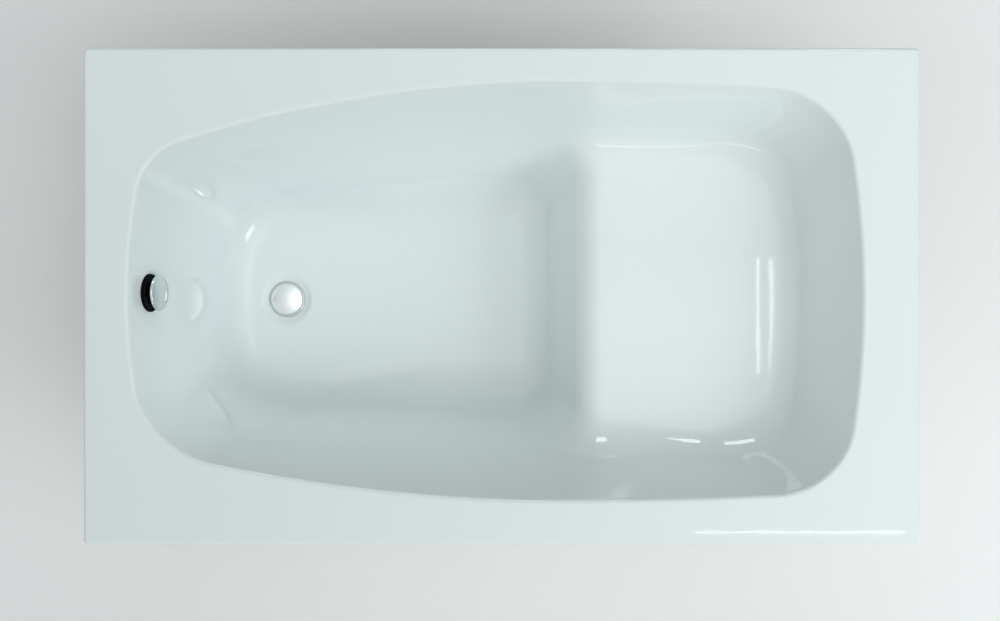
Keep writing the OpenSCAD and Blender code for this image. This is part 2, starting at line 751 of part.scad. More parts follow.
elbow_top = -shell_t - 2 * lay_gap - gasket_t;
elbow_plate = 5;
module overflow_elbow() {
    inner = elbow_r - body_wall;
    color([0.16, 0.17, 0.18])
    at_overflow() difference() {
        union() {
            translate([0, 0, -elbow_back]) cylinder(r = elbow_r, h = elbow_back + elbow_top);
            translate([0, 0, elbow_top - elbow_plate]) cylinder(r = overflow_ring_r, h = elbow_plate);
            translate([0, 0, stub_z]) rotate([0, 90, 0]) cylinder(r = stub_r, h = stub_end);
            translate([0, cable_port.y, cable_port.z]) rotate([0, 90, 0])
                cylinder(r = boss_r, h = cable_port.x);
        }
        translate([0, 0, body_wall - elbow_back])
            cylinder(r = inner, h = elbow_back + elbow_top - elbow_plate - body_wall);
        translate([0, 0, elbow_top - elbow_plate - 1])
            cylinder(r = sleeve_r + run_gap, h = elbow_plate + 2);
        translate([stub_end - hose_seat, 0, stub_z]) rotate([0, 90, 0])
            cylinder(r = hose_r + socket_gap, h = hose_seat + 1);
        translate([0, 0, stub_z]) rotate([0, 90, 0]) cylinder(r = hose_r - 2, h = stub_end);
        translate([cable_port.x - ferrule_l / 2, cable_port.y, cable_port.z]) rotate([0, 90, 0])
            cylinder(r = ferrule_r + lay_gap, h = ferrule_l);
        translate([0, cable_port.y, cable_port.z]) rotate([0, 90, 0])
            cylinder(r = cable_r, h = cable_port.x);
    }
}

// The knob turns on the wall's normal, and a crank on its shaft pulls the cable
knob_z = lay_gap + flange_t + knob_stand;
knob_dome = 8;
module overflow_knob() {
    rim_t = 3;
    color("silver")
    at_overflow() rotate_extrude($fn = 96)
        polygon([[0, knob_z - 3], [hub_r + 1, knob_z - 3], [hub_r + 1, knob_z + 1.5],
            [knob_r - rim_t - 1, knob_z + 1.5], [knob_r - rim_t, knob_z], [knob_r - 0.5, knob_z],
            [knob_r, knob_z + 0.6], [knob_r - 0.4, knob_z + 2.2], [knob_r - 2.5, knob_z + 3.6],
            [0.72 * knob_r, knob_z + 0.7 * knob_dome], [0.45 * knob_r, knob_z + 0.88 * knob_dome],
            [0.2 * knob_r, knob_z + 0.98 * knob_dome], [0, knob_z + knob_dome]]);
}

crank_z = -44;
crank_r = 14;
crank_t = 4;
module knob_shaft() {
    color("gray")
    at_overflow() {
        translate([0, 0, crank_z]) cylinder(r = shaft_r, h = knob_z - 3 - lay_gap - crank_z);
        translate([0, 0, crank_z]) cylinder(r = crank_r, h = crank_t);
        translate([crank_r - 4, 0, crank_z + crank_t - 1]) cylinder(r = 2.5, h = 7, $fn = 32);
    }
}

// Union nut round a stub's end, closing in on the pipe; it stands on z = 0 and the stub comes from below
nut_lap = 14;
nut_lip = 4;
nut_wall = 4;
module union_nut(stub, pipe) {
    difference() {
        cylinder(r = stub + socket_gap + nut_wall, h = nut_lap + nut_lip);
        translate([0, 0, -1]) cylinder(r = stub + socket_gap, h = nut_lap + 1);
        cylinder(r = pipe + socket_gap, h = 2 * nut_lap);
        for (k = [0:11])
            rotate([0, 0, 30 * k]) translate([stub + socket_gap + nut_wall + 1.2, 0, -1])
                cylinder(r = 2.2, h = nut_lap, $fn = 24);
    }
}

module hose_nut_top() {
    color([0.16, 0.17, 0.18])
    at_overflow() translate([stub_end + skin_gap - nut_lap, 0, stub_z]) rotate([0, 90, 0])
        union_nut(stub_r, hose_r);
}

// Drain, in the frame of its seat: z up from the shell's dished face

chamber_r = 33;
chamber_low = -58;
inlet_z = -35;
inlet_end = 58;
throat_r = 24;
seal_t = 1.2;
thread_r = sleeve_r - 1;
bottom_stub_r = outlet_r;
bottom_stub_end = -74;
lever_arm = 24;
lever_swing = 2 * asin(plug_lift / 2 / lever_arm);
lever_z = -42;
tip_r = 3;
pin_r = 2;
stem_r = 4;
cable_boss_end = -48;
cable_boss_z = -46;
plug_low = 4.2;

module drain_seal() {
    color([0.15, 0.15, 0.15])
    at_drain() translate([0, 0, lay_gap]) ring_disc(drain_ring_r - 5, port_r + 1, seal_t);
}

module drain_flange() {
    under = 2 * lay_gap + seal_t;
    lip_r = drain_ring_r - 4.5;
    color("silver")
    at_drain() union() {
        rotate_extrude($fn = 96)
            polygon([[throat_r - 2, -18], [thread_r, -18], [thread_r, under], [lip_r, under],
                [lip_r, lay_gap], [drain_ring_r, lay_gap], [drain_ring_r - 0.6, 2.2],
                [drain_ring_r - 3, 3.6],
                [plug_r - 3, 3.4], [plug_r - 7, 2.8], [throat_r - 0.2, 1.6], [throat_r - 2, -3]]);
        spider(throat_r - 0.6, -17, -13, 7, stem_r + run_gap);
    }
}

module drain_gasket() {
    color([0.15, 0.15, 0.15])
    at_drain() translate([0, 0, -shell_t - lay_gap - gasket_t])
        ring_disc(drain_ring_r - 2, port_r + 1, gasket_t);
}

body_top = -shell_t - 2 * lay_gap - gasket_t;
body_plate = 5;
module drain_body() {
    inner = chamber_r - body_wall;
    color([0.16, 0.17, 0.18])
    at_drain() difference() {
        union() {
            translate([0, 0, chamber_low]) cylinder(r = chamber_r, h = body_top - chamber_low);
            translate([0, 0, body_top - body_plate]) cylinder(r = drain_ring_r - 1, h = body_plate);
            translate([0, 0, inlet_z]) rotate([0, -90, 0]) cylinder(r = stub_r, h = inlet_end);
            translate([0, 0, bottom_stub_end])
                cylinder(r = bottom_stub_r, h = chamber_low - bottom_stub_end + 1);
            translate([0, 0, cable_boss_z]) rotate([90, 0, 0]) cylinder(r = boss_r, h = -cable_boss_end);
        }
        translate([0, 0, chamber_low + body_wall])
            cylinder(r = inner, h = body_top - body_plate - chamber_low - body_wall);
        translate([0, 0, body_top - body_plate - 1])
            cylinder(r = thread_r + run_gap, h = body_plate + 2);
        translate([0, 0, bottom_stub_end - 1])
            cylinder(r = bottom_stub_r - body_wall, h = -bottom_stub_end);
        translate([hose_seat - inlet_end, 0, inlet_z]) rotate([0, -90, 0])
            cylinder(r = hose_r + socket_gap, h = hose_seat + 1);
        translate([0, 0, inlet_z]) rotate([0, -90, 0]) cylinder(r = hose_r - 2, h = inlet_end);
        translate([0, cable_boss_end + ferrule_l / 2, cable_boss_z]) rotate([90, 0, 0])
            cylinder(r = ferrule_r + lay_gap, h = ferrule_l);
        translate([0, 0, cable_boss_z]) rotate([90, 0, 0]) cylinder(r = cable_r, h = -cable_boss_end);
        translate([-chamber_r, -lever_arm, lever_z]) rotate([0, 90, 0])
            cylinder(r = pin_r + run_gap, h = 2 * chamber_r, $fn = 32);
    }
}

module plug_cap() {
    color("silver")
    at_drain() rotate_extrude($fn = 96)
        polygon([[0, plug_low], [plug_r - 0.6, plug_low], [plug_r, plug_low + 0.7],
            [plug_r - 0.3, plug_low + 1.8], [plug_r - 2, plug_low + 3.2], [0.75 * plug_r, plug_low + 4.8],
            [0.5 * plug_r, plug_low + 6], [0.22 * plug_r, plug_low + 6.6], [0, plug_low + 6.8]]);
}

module plug_seal() {
    color([0.15, 0.15, 0.15])
    at_drain() translate([0, 0, plug_low - lay_gap - 3]) ring_disc(throat_r - 0.8, throat_r - 7, 3);
}

stem_low = lever_z - plug_lift / 2 + tip_r + skin_gap;
module plug_stem() {
    color("gray")
    at_drain() {
        translate([0, 0, stem_low]) cylinder(r = stem_r, h = plug_low - lay_gap - stem_low);
        translate([0, 0, plug_low - lay_gap - 3]) cylinder(r = throat_r - 7 - lay_gap, h = 3);
    }
}

module lift_lever() {
    rest = -lever_swing / 2;
    color("orange")
    at_drain() translate([0, -lever_arm, lever_z]) rotate([rest, 0, 0]) difference() {
        union() {
            translate([-4, 0, 0]) rotate([0, 90, 0]) cylinder(r = 5, h = 8, $fn = 32);
            translate([-2.5, 0, -2]) cube([5, lever_arm, 4]);
            translate([-4, lever_arm, 0]) rotate([0, 90, 0]) cylinder(r = tip_r, h = 8, $fn = 32);
        }
        translate([-5, 0, 0]) rotate([0, 90, 0]) cylinder(r = pin_r + run_gap, h = 10, $fn = 32);
    }
}

module lever_pin() {
    half = sqrt(chamber_r * chamber_r - lever_arm * lever_arm);
    color("silver")
    at_drain() translate([-half, -lever_arm, lever_z]) rotate([0, 90, 0])
        cylinder(r = pin_r, h = 2 * half, $fn = 32);
}

// Hose and cable between the overflow and the drain

hose_bore = hose_r - 2;
hose_start = overflow_point(stub_end - hose_seat + skin_gap, 0, stub_z);
hose_end = [drain_x - inlet_end + hose_seat - skin_gap, drain_y, drain_seat_z + inlet_z];
hose_span = norm(hose_end - hose_start);
module overflow_hose() {
    lead_out = hose_start + 0.85 * hose_span * down_wall;
    lead_in = hose_end - [0.26 * hose_span, 0, 0];
    color("dimgray")
    swept_tube(curve([hose_start, lead_out, lead_in, hose_end], 24), hose_r, hose_bore, 12, [0, 1, 0]);
}

module hose_nut_bottom() {
    color([0.16, 0.17, 0.18])
    at_drain() translate([nut_lap - inlet_end - skin_gap, 0, inlet_z]) rotate([0, -90, 0])
        union_nut(stub_r, hose_r);
}

cable_start = overflow_point(cable_port.x - ferrule_l / 2 + lay_gap, cable_port.y, cable_port.z);
cable_end = [drain_x, drain_y + cable_boss_end + ferrule_l / 2 - lay_gap, drain_seat_z + cable_boss_z];
cable_span = norm(cable_end - cable_start);
module pull_cable() {
    leave = cable_start + ferrule_l * down_wall;
    enter = cable_end - [0, ferrule_l, 0];
    bend = curve([leave, leave + cable_span * down_wall, enter - [0, 0.3 * cable_span, 0], enter], 34);
    color([0.1, 0.1, 0.1])
    swept_tube(concat([cable_start], bend, [cable_end]), cable_r - run_gap, 0, 8, off_wall);
}

module cable_ferrules() {
    color("silver") {
        at_overflow() translate([cable_port.x - ferrule_l / 2 + lay_gap, cable_port.y, cable_port.z])
            rotate([0, 90, 0]) ring_disc(ferrule_r, cable_r + socket_gap, ferrule_l);
        at_drain() translate([0, cable_boss_end + ferrule_l / 2 - lay_gap, cable_boss_z])
            rotate([90, 0, 0]) ring_disc(ferrule_r, cable_r + socket_gap, ferrule_l);
    }
}

// Trap, still in the drain's frame

trap_r = 34;
trap_top = -92;
trap_low = -136;
trap_seal_t = 2;
outlet_z = -112;
dip_low = -132;
weir = [12, -104];
trap_stub_r = outlet_r + socket_gap + 3.2;
trap_stub_end = 72;
outlet_seat = 20;
collar_l = 4;
collar_h = 3;

module trap_body() {
    inner = trap_r - body_wall;
    dip_r = bottom_stub_r - 1;
    color("whitesmoke")
    at_drain() difference() {
        union() {
            difference() {
                union() {
                    translate([0, 0, trap_low]) cylinder(r = trap_r, h = trap_top - trap_low);
                    translate([0, 0, outlet_z]) rotate([-90, 0, 0])
                        cylinder(r = trap_stub_r, h = trap_stub_end);
                }
                translate([0, 0, trap_low - 1])
                    cylinder(r = inner, h = trap_top - body_wall - trap_low + 1);
            }
            translate([0, 0, dip_low]) cylinder(r = dip_r, h = bottom_stub_end - skin_gap - dip_low);
        }
        translate([0, 0, dip_low - 1]) cylinder(r = dip_r - 2, h = bottom_stub_end - dip_low + 2);
        translate([0, trap_stub_end - outlet_seat, outlet_z]) rotate([-90, 0, 0])
            cylinder(r = outlet_r + socket_gap, h = outlet_seat + 1);
        translate([0, trap_r, outlet_z]) rotate([-90, 0, 0]) cylinder(r = outlet_r - outlet_wall, h = trap_stub_end);
        translate([0, dip_r + 2, weir[1]]) rotate([-90, 0, 0]) cylinder(r = weir[0], h = trap_r);
    }
}

module trap_seal() {
    color([0.15, 0.15, 0.15])
    at_drain() translate([0, 0, trap_low - lay_gap - trap_seal_t])
        ring_disc(trap_r, trap_r - body_wall, trap_seal_t);
}

module trap_cup() {
    face = trap_low - 2 * lay_gap - trap_seal_t;
    plate = 5;
    spigot_r = trap_r - body_wall - socket_gap;
    color("whitesmoke")
    at_drain() difference() {
        union() {
            translate([0, 0, face - plate]) cylinder(r = trap_r + 2, h = plate);
            translate([0, 0, face - 1]) cylinder(r = spigot_r, h = 9);
        }
        translate([0, 0, face - 2]) cylinder(r = spigot_r - body_wall, h = 11);
    }
}

module trap_nut() {
    color("whitesmoke")
    at_drain() translate([0, 0, bottom_stub_end - 2 * socket_gap + nut_lap]) rotate([180, 0, 0])
        union_nut(bottom_stub_r, bottom_stub_r - 1);
}

module outlet_nut() {
    color("whitesmoke")
    at_drain() translate([0, trap_stub_end + skin_gap - nut_lap, outlet_z]) rotate([-90, 0, 0])
        union_nut(trap_stub_r, outlet_r);
}

module outlet_pipe() {
    start = trap_stub_end - outlet_seat + skin_gap;
    color("gray")
    at_drain() rotate([-90, 0, 0]) translate([0, -outlet_z, 0]) {
        translate([0, 0, start]) ring_disc(outlet_r, outlet_r - outlet_wall, outlet_reach - start);
        translate([0, 0, outlet_reach - spigot_l - collar_l])
            ring_disc(outlet_r + collar_h, outlet_r - outlet_wall / 2, collar_l);
    }
}

bath_shell();
glass_fibre_backing();
footwell_board();
seat_board();
rim_batten_front();
rim_batten_back();
rim_batten_head();
rim_batten_foot();
foot_rail_drain();
foot_rail_riser();
seat_rail();
seat_leg_front();
seat_leg_back();
leg_bolts();
rail_screws();
for (i = [1:6]) {
    foot_pad(i);
    foot_rod(i);
    foot_nuts(i);
}
overflow_flange();
overflow_gasket();
overflow_elbow();
overflow_knob();
knob_shaft();
overflow_hose();
hose_nut_top();
hose_nut_bottom();
pull_cable();
cable_ferrules();
drain_flange();
drain_seal();
drain_gasket();
drain_body();
plug_cap();
plug_seal();
plug_stem();
lift_lever();
lever_pin();
trap_body();
trap_cup();
trap_seal();
trap_nut();
outlet_nut();
outlet_pipe();
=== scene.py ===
import math
import bmesh
import bpy
import numpy as np
from mathutils import Matrix, Vector


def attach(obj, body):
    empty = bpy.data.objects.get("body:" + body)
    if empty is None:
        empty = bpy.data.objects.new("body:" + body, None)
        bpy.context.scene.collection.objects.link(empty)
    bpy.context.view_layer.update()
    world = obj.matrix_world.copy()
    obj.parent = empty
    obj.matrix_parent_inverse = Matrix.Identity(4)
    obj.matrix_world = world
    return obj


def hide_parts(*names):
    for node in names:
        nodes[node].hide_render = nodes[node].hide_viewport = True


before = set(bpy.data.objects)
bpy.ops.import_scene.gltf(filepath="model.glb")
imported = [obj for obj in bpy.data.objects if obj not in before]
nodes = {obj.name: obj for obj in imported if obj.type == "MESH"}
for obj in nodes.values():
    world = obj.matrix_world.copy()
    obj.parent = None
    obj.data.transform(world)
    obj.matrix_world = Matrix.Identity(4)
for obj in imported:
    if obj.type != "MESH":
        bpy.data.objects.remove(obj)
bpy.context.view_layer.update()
print("frame loaded,", len(nodes), "nodes")

# sizes shared with the part, in metres and degrees
tub = {"length": 1.6, "width": 0.95, "rim": 0.59, "corner": 0.009, "edge": 0.006, "mouthEdge": 0.010,
       "lip": 0.040, "skin": 0.0045, "cornerSpread": 0.20}
opening = {"foot": -0.715, "head": 0.692, "back": 0.412, "front": 0.3915, "wideX": 0.120, "halfRun": 0.7,
           "taperBack": 0.103, "taperFront": 0.076, "drawBack": 0.040, "drawFront": 0.029,
           "footBow": 0.070, "headBow": 0.046, "bowAt": 0.4, "footCornerBack": 0.060,
           "footCornerFront": 0.110, "headCornerBack": 0.124, "headCornerFront": 0.118}
basin = {"depth": 0.430, "seat": 0.390, "riserX": 0.087, "riserLean": 18.5, "riserFoot": 0.040,
         "seatEdge": 0.034, "footLean": 17, "backLean": 26.5, "wellLean": 22.5, "seatLean": 27,
         "wellCove": 0.070, "footCove": 0.046, "seatCove": 0.056, "backCove": 0.026, "fall": 0.01,
         "changeFrom": 0.060, "changeTo": 0.180}
drain = {"x": -0.465, "y": -0.003, "z": 0.154, "dish": 0.006, "dishR": 0.056, "seatR": 0.041,
         "port": 0.026}
overflow = {"y": 0.007, "drop": 0.082, "seatR": 0.0395, "seatFade": 0.02, "lean": 17}
hubX = -0.010
upward = Vector((0, 0, 1))

tilt = math.radians(overflow["lean"])
overflowAt = Vector((opening["foot"] + opening["footBow"] * (overflow["y"] / opening["bowAt"]) ** 2
                     + overflow["drop"] * math.tan(tilt), overflow["y"], tub["rim"] - overflow["drop"]))
offWall = Vector((math.cos(tilt), 0, math.sin(tilt)))
downWall = Vector((math.sin(tilt), 0, -math.cos(tilt)))
drainAt = Vector((drain["x"], drain["y"], drain["z"]))


def overflowPoint(down, side, out):
    return overflowAt + downWall * down + Vector((0, side, 0)) + offWall * out


# node maths: a wired value that adds its own Math nodes
class Wire:
    def __init__(self, sheet, node, socket):
        self.sheet, self.node, self.socket = sheet, node, socket

    def __getitem__(self, name):
        return Wire(self.sheet, self.node, self.node.outputs[name])

    def math(self, kind, *others):
        return self.sheet.add("ShaderNodeMath", {"operation": kind}, dict(enumerate((self, *others))))

    def flipped(self, kind, other):
        return self.sheet.add("ShaderNodeMath", {"operation": kind}, {0: other, 1: self})

    def __add__(self, other): return self.math("ADD", other)
    def __radd__(self, other): return self.math("ADD", other)
    def __sub__(self, other): return self.math("SUBTRACT", other)
    def __rsub__(self, other): return self.flipped("SUBTRACT", other)
    def __mul__(self, other): return self.math("MULTIPLY", other)
    def __rmul__(self, other): return self.math("MULTIPLY", other)
    def __truediv__(self, other): return self.math("DIVIDE", other)
    def __rtruediv__(self, other): return self.flipped("DIVIDE", other)
    def __gt__(self, other): return self.math("GREATER_THAN", other)


# a node tree, with one method that adds any node
class Sheet:
    def __init__(self, tree):
        self.tree = tree

    def put(self, socket, value):  # links a wire, or sets a plain value; a colour gets its alpha
        if isinstance(value, Wire):
            self.tree.links.new(value.socket, socket)
        else:
            socket.default_value = (*value, 1) if socket.type == "RGBA" else value

    def add(self, kind, settings=None, sockets=None):
        node = self.tree.nodes.new(kind)
        for key, value in (settings or {}).items():
            if key == "stops":
                ramp = node.color_ramp
                while len(ramp.elements) < len(value):
                    ramp.elements.new(0.5)
                for element, (at, colour) in zip(ramp.elements, value):
                    element.position = at
                    element.color = (*colour, 1)
            else:
                setattr(node, key, value)
        for key, value in (sockets or {}).items():
            self.put(node.inputs[key], value)
        shown = [s for s in node.outputs if s.enabled]
        return Wire(self, node, shown[0])

    def seen(self):  # 1 for what the lens, gloss and glass see
        path = self.add("ShaderNodeLightPath")
        rays = path["Is Camera Ray"] + path["Is Glossy Ray"] + path["Is Transmission Ray"]
        return rays.math("MINIMUM", 1)


# one material: a Principled shader and the nodes that feed it
class Finish(Sheet):
    def __init__(self, name):
        self.material = bpy.data.materials.new(name)
        self.material.use_nodes = True
        super().__init__(self.material.node_tree)
        self.shader = self.tree.nodes["Principled BSDF"]
        self.place = self.add("ShaderNodeTexCoord")["Object"]

    def stretched(self, scale, turn=(0, 0, 0)):
        return self.add("ShaderNodeMapping", {}, {"Vector": self.place, "Scale": scale, "Rotation": turn})

    def noise(self, scale, detail, rough=0.55, vector=None, warp=0):
        return self.add("ShaderNodeTexNoise", {}, {"Vector": vector or self.place, "Scale": scale,
                        "Detail": detail, "Roughness": rough, "Distortion": warp})

    def cells(self, scale, feature="F1", vector=None):
        return self.add("ShaderNodeTexVoronoi", {"feature": feature},
                        {"Vector": vector or self.place, "Scale": scale})

    def parts(self, colour):  # a colour as its red, green and blue
        return self.add("ShaderNodeSeparateColor", {}, {0: colour})

    def ramp(self, value, *stops):
        return self.add("ShaderNodeValToRGB", {"stops": stops}, {0: value})

    def mask(self, value, low, high):  # black at low, white at high
        return self.ramp(value, (low, (0, 0, 0)), (high, (1, 1, 1)))

    def blend(self, factor, a, b):
        return self.add("ShaderNodeMix", {"data_type": "RGBA"}, {0: factor, 6: a, 7: b})

    def bump(self, height, distance, strength, under=None):
        sockets = {"Height": height, "Distance": distance, "Strength": strength}
        if under:
            sockets["Normal"] = under
        return self.add("ShaderNodeBump", {}, sockets)

    def feed(self, **sockets):  # Base_Color=..., Roughness=...
        for key, value in sockets.items():
            self.put(self.shader.inputs[key.replace("_", " ")], value)
        return self.material


acrylicLook = {"colour": (0.806, 0.862, 0.858), "shade": (0.794, 0.852, 0.848), "roughness": 0.015,
               "haze": 0.03, "coat": 0.35, "coatRoughness": 0.02, "index": 1.49}


def acrylicFinish():
    look = acrylicLook
    f = Finish("whiteAcrylic")
    broad = f.noise(2.2, 2)
    film = f.noise(9, 4)
    fine = f.noise(420, 2)
    peel = f.bump(f.noise(38, 2), 0.00012, 0.35, under=f.bump(fine, 0.00001, 0.2))
    return f.feed(Base_Color=f.blend(f.mask(broad, 0.35, 0.65), look["shade"], look["colour"]),
                  Roughness=film * look["haze"] + look["roughness"], Specular_IOR_Level=0.5,
                  IOR=look["index"], Coat_Weight=look["coat"], Coat_Roughness=look["coatRoughness"], Normal=peel)


def chromeFinish(name, colour, roughness, marks):
    f = Finish(name)
    water = f.cells(900, "SMOOTH_F1")
    spots = f.mask(f.noise(260, 3), 0.62, 0.72)
    tone = f.blend(spots * 0.35, colour, tuple(0.86 * c for c in colour))
    ring = f.noise(700, 2, vector=f.stretched((1, 1, 0.2)))
    return f.feed(Base_Color=tone, Metallic=1.0,
                  Roughness=spots * marks + water["Distance"] * 0.02 + roughness,
                  Normal=f.bump(ring, 0.000012, 0.3))


def plasticFinish(name, colour, roughness, grain=0.00004, speck=0.06, gloss=0.45):
    f = Finish(name)
    tone = f.mask(f.noise(22, 4), 0.3, 0.7)
    dusty = f.noise(6, 5, 0.6)
    dark = tuple(c * (1 - speck) for c in colour)
    pale = tuple(min(1, c * (1 + speck) + 0.001) for c in colour)
    pits = f.cells(1500)["Distance"]
    return f.feed(Base_Color=f.blend(tone, dark, pale), Roughness=dusty * 0.16 + (roughness - 0.08),
                  Specular_IOR_Level=gloss, Normal=f.bump(pits * 0.4 + f.noise(600, 3) * 0.6, grain, 0.6))


def rubberFinish(name, colour, worn):
    f = Finish(name)
    wear = f.mask(f.noise(90, 5), 0.35, 0.8)
    return f.feed(Base_Color=f.blend(wear, colour, worn), Roughness=wear * 0.12 + 0.62,
                  Normal=f.bump(f.noise(1400, 3), 0.00004, 0.7))


def zincFinish(name, colour, spangle, roughness, white=(0.70, 0.71, 0.72)):
    f = Finish(name)
    flakes = f.cells(spangle)
    tone = f.parts(flakes["Color"])
    dull = f.noise(14, 5, 0.65)
    pale, dark = tuple(min(1, c * 1.12) for c in colour), tuple(c * 0.78 for c in colour)
    shade = f.blend(tone["Red"] * 0.55 + dull * 0.45, dark, pale)
    bloom = f.mask(f.noise(30, 6, 0.7), 0.60, 0.74)
    scratch = f.noise(1200, 3, vector=f.stretched((1, 0.06, 0.4)))
    return f.feed(Base_Color=f.blend(bloom * 0.35, shade, white), Metallic=0.92 - bloom * 0.3,
                  Roughness=tone["Green"] * 0.12 + dull * 0.10 + roughness,
                  Normal=f.bump(scratch, 0.00003, 0.5))


def brassFinish(name, colour, tarnished):
    f = Finish(name)
    rings = f.noise(1500, 2, vector=f.stretched((0.1, 0.1, 1)))
    tarnish = f.mask(f.noise(120, 5), 0.45, 0.75)
    return f.feed(Base_Color=f.blend(tarnish * 0.6, colour, tarnished), Metallic=1.0,
                  Roughness=tarnish * 0.2 + 0.22, Normal=f.bump(rings, 0.00002, 0.5))


fibreLook = {"resin": (0.40, 0.36, 0.25), "paleResin": (0.55, 0.52, 0.41), "glass": (0.74, 0.73, 0.66)}
fibreRuns = [((1, 0.045, 0.3), (0.2, 0.1, 0.5)), ((0.05, 1, 0.3), (0.1, 0.3, -0.4)),
             ((0.7, 0.05, 1), (0.6, 0.2, 1.1))]  # each layer's stretch and turn


def fibreFinish():
    f = Finish("glassFibreLaminate")
    warped = f.noise(7, 3)
    a, b, c = (f.noise(330, 2, 0.6, vector=f.stretched(scale, turn), warp=0.2) for scale, turn in fibreRuns)
    mat = f.mask(a.math("MAXIMUM", b).math("MAXIMUM", c), 0.52, 0.68)
    resin = f.blend(f.mask(warped, 0.35, 0.7), fibreLook["resin"], fibreLook["paleResin"])
    pools = f.mask(f.noise(16, 4), 0.5, 0.62)
    height = mat * 0.7 + f.noise(60, 4) * 0.6
    return f.feed(Base_Color=f.blend(mat * 0.6, resin, fibreLook["glass"]), Roughness=0.62 - pools * 0.28,
                  Specular_IOR_Level=0.5, Normal=f.bump(height, 0.0005, 0.8))


chipLook = {"chips": [(0.1, (0.27, 0.17, 0.09)), (0.45, (0.47, 0.33, 0.19)), (0.8, (0.62, 0.47, 0.29)),
                      (1.0, (0.71, 0.58, 0.39))], "stain": (0.36, 0.24, 0.13)}


def chipboardFinish():
    f = Finish("chipboard")
    chips = f.cells(190, vector=f.stretched((1, 0.45, 1.6), (0, 0, 0.4)))
    crumbs = f.cells(520, vector=f.stretched((1, 0.6, 1.4), (0.3, 0.2, 1.2)))
    tone, small = f.parts(chips["Color"]), f.parts(crumbs["Color"])
    base = f.ramp(tone["Red"] * 0.6 + small["Red"] * 0.4, *chipLook["chips"])
    return f.feed(Base_Color=f.blend(f.noise(40, 5) * 0.35, base, chipLook["stain"]),
                  Roughness=small["Green"] * 0.15 + 0.68,
                  Normal=f.bump(chips["Distance"] * 0.6 + small["Blue"] * 0.4, 0.00035, 0.7))


timberLook = {"growth": [(0.2, (0.45, 0.29, 0.14)), (0.55, (0.66, 0.48, 0.28)), (0.9, (0.76, 0.60, 0.39))]}


def timberFinish(name, along):
    f = Finish(name)

    def run(ends, sides):  # the stretch along the timber, and across it
        return f.stretched((ends, sides, sides) if along == "x" else (sides, ends, sides))

    grain = f.noise(3.2, 5, 0.6, vector=run(1.4, 30), warp=0.6)
    lie = f.stretched((0.15, 1, 1) if along == "x" else (1, 0.15, 1))
    rings = f.add("ShaderNodeTexWave", {"wave_type": "BANDS", "bands_direction": "Y" if along == "x" else "X"},
                  {"Vector": lie, "Scale": 34, "Distortion": 3.5, "Detail": 3, "Detail Scale": 1.2})
    base = f.ramp(rings["Fac"] * 0.5 + grain * 0.5, *timberLook["growth"])
    saw = f.noise(500, 2, vector=run(1, 0.2))
    return f.feed(Base_Color=base, Roughness=grain * 0.15 + 0.62, Normal=f.bump(saw + grain, 0.0002, 0.6))


finishes = {
    "acrylic": acrylicFinish(),
    "chrome": chromeFinish("polishedChrome", (0.70, 0.745, 0.74), 0.06, 0.10),
    # the plug cap's chrome is paler than the other chrome: painted light standing in for the cap's bright
    # highlight
    "cap": chromeFinish("satinChrome", (0.93, 0.955, 0.95), 0.20, 0.08),
    # the drain ring's chrome is darker than the other chrome: painted shade for the shadowed ring round the plug
    "chromeDeep": chromeFinish("chromeRing", (0.56, 0.60, 0.60), 0.14, 0.12),
    "black": plasticFinish("blackPlastic", (0.022, 0.024, 0.025), 0.40),
    # the overflow ring is real black plastic, darkened further than the other black as painted shade for its
    # recess under the knob
    "ink": plasticFinish("deepBlackPlastic", (0.003, 0.004, 0.005), 0.55, gloss=0.03),
    "grey": plasticFinish("greyPipePlastic", (0.30, 0.32, 0.34), 0.42),
    "white": plasticFinish("whitePipePlastic", (0.74, 0.75, 0.73), 0.34, speck=0.03),
    "foot": plasticFinish("footPlastic", (0.045, 0.046, 0.050), 0.55, 0.00008),
    "orange": plasticFinish("leverPlastic", (0.62, 0.22, 0.05), 0.42),
    "cable": plasticFinish("cableSheath", (0.030, 0.031, 0.033), 0.48),
    "rubber": rubberFinish("sealRubber", (0.018, 0.018, 0.019), (0.055, 0.055, 0.056)),
    "zinc": zincFinish("galvanisedRail", (0.60, 0.62, 0.64), 170, 0.30),
    "bright": zincFinish("zincFastener", (0.66, 0.66, 0.62), 700, 0.24),
    "brass": brassFinish("turnedBrass", (0.66, 0.50, 0.22), (0.36, 0.24, 0.10)),
    "fibre": fibreFinish(),
    "strand": plasticFinish("glassStrand", (0.66, 0.64, 0.54), 0.40, 0.00003),
    "chip": chipboardFinish(),
    "timberX": timberFinish("sawnTimberX", "x"),
    "timberY": timberFinish("sawnTimberY", "y"),
}
print("finishes made,", len(finishes))


def linked(name, data):  # a new object in the scene
    piece = bpy.data.objects.new(name, data)
    bpy.context.scene.collection.objects.link(piece)
    return piece


def meshFrom(bm, name):  # the bmesh is used up
    mesh = bpy.data.meshes.new(name)
    bm.to_mesh(mesh)
    bm.free()
    return mesh


def merge(bm, part):  # adds one bmesh to another
    mesh = meshFrom(part, "part")
    bm.from_mesh(mesh)
    bpy.data.meshes.remove(mesh)


def smoothed(mesh, angle):  # sharp only where two faces meet at more than this angle
    mesh.shade_smooth()
    mesh.set_sharp_from_angle(angle=math.radians(angle))


def meshPiece(name, points, faces, finish):
    mesh = bpy.data.meshes.new(name)
    mesh.from_pydata([tuple(p) for p in points], [], faces)
    mesh.validate()
    mesh.update()
    mesh.materials.append(finishes[finish])
    return linked(name, mesh)


def evaluated(piece):  # the plain mesh that the piece's modifiers give
    bpy.context.view_layer.update()
    graph = bpy.context.evaluated_depsgraph_get()
    return bpy.data.meshes.new_from_object(piece.evaluated_get(graph))


def settled(piece):  # turns live modifiers into a plain mesh
    mesh = evaluated(piece)
    piece.modifiers.clear()
    piece.data = mesh


def placed(piece, body, slot, *replaced):  # body it rides on, material slot (not used), CAD nodes it stands in for
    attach(piece, body)
    if replaced:
        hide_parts(*replaced)
    return piece


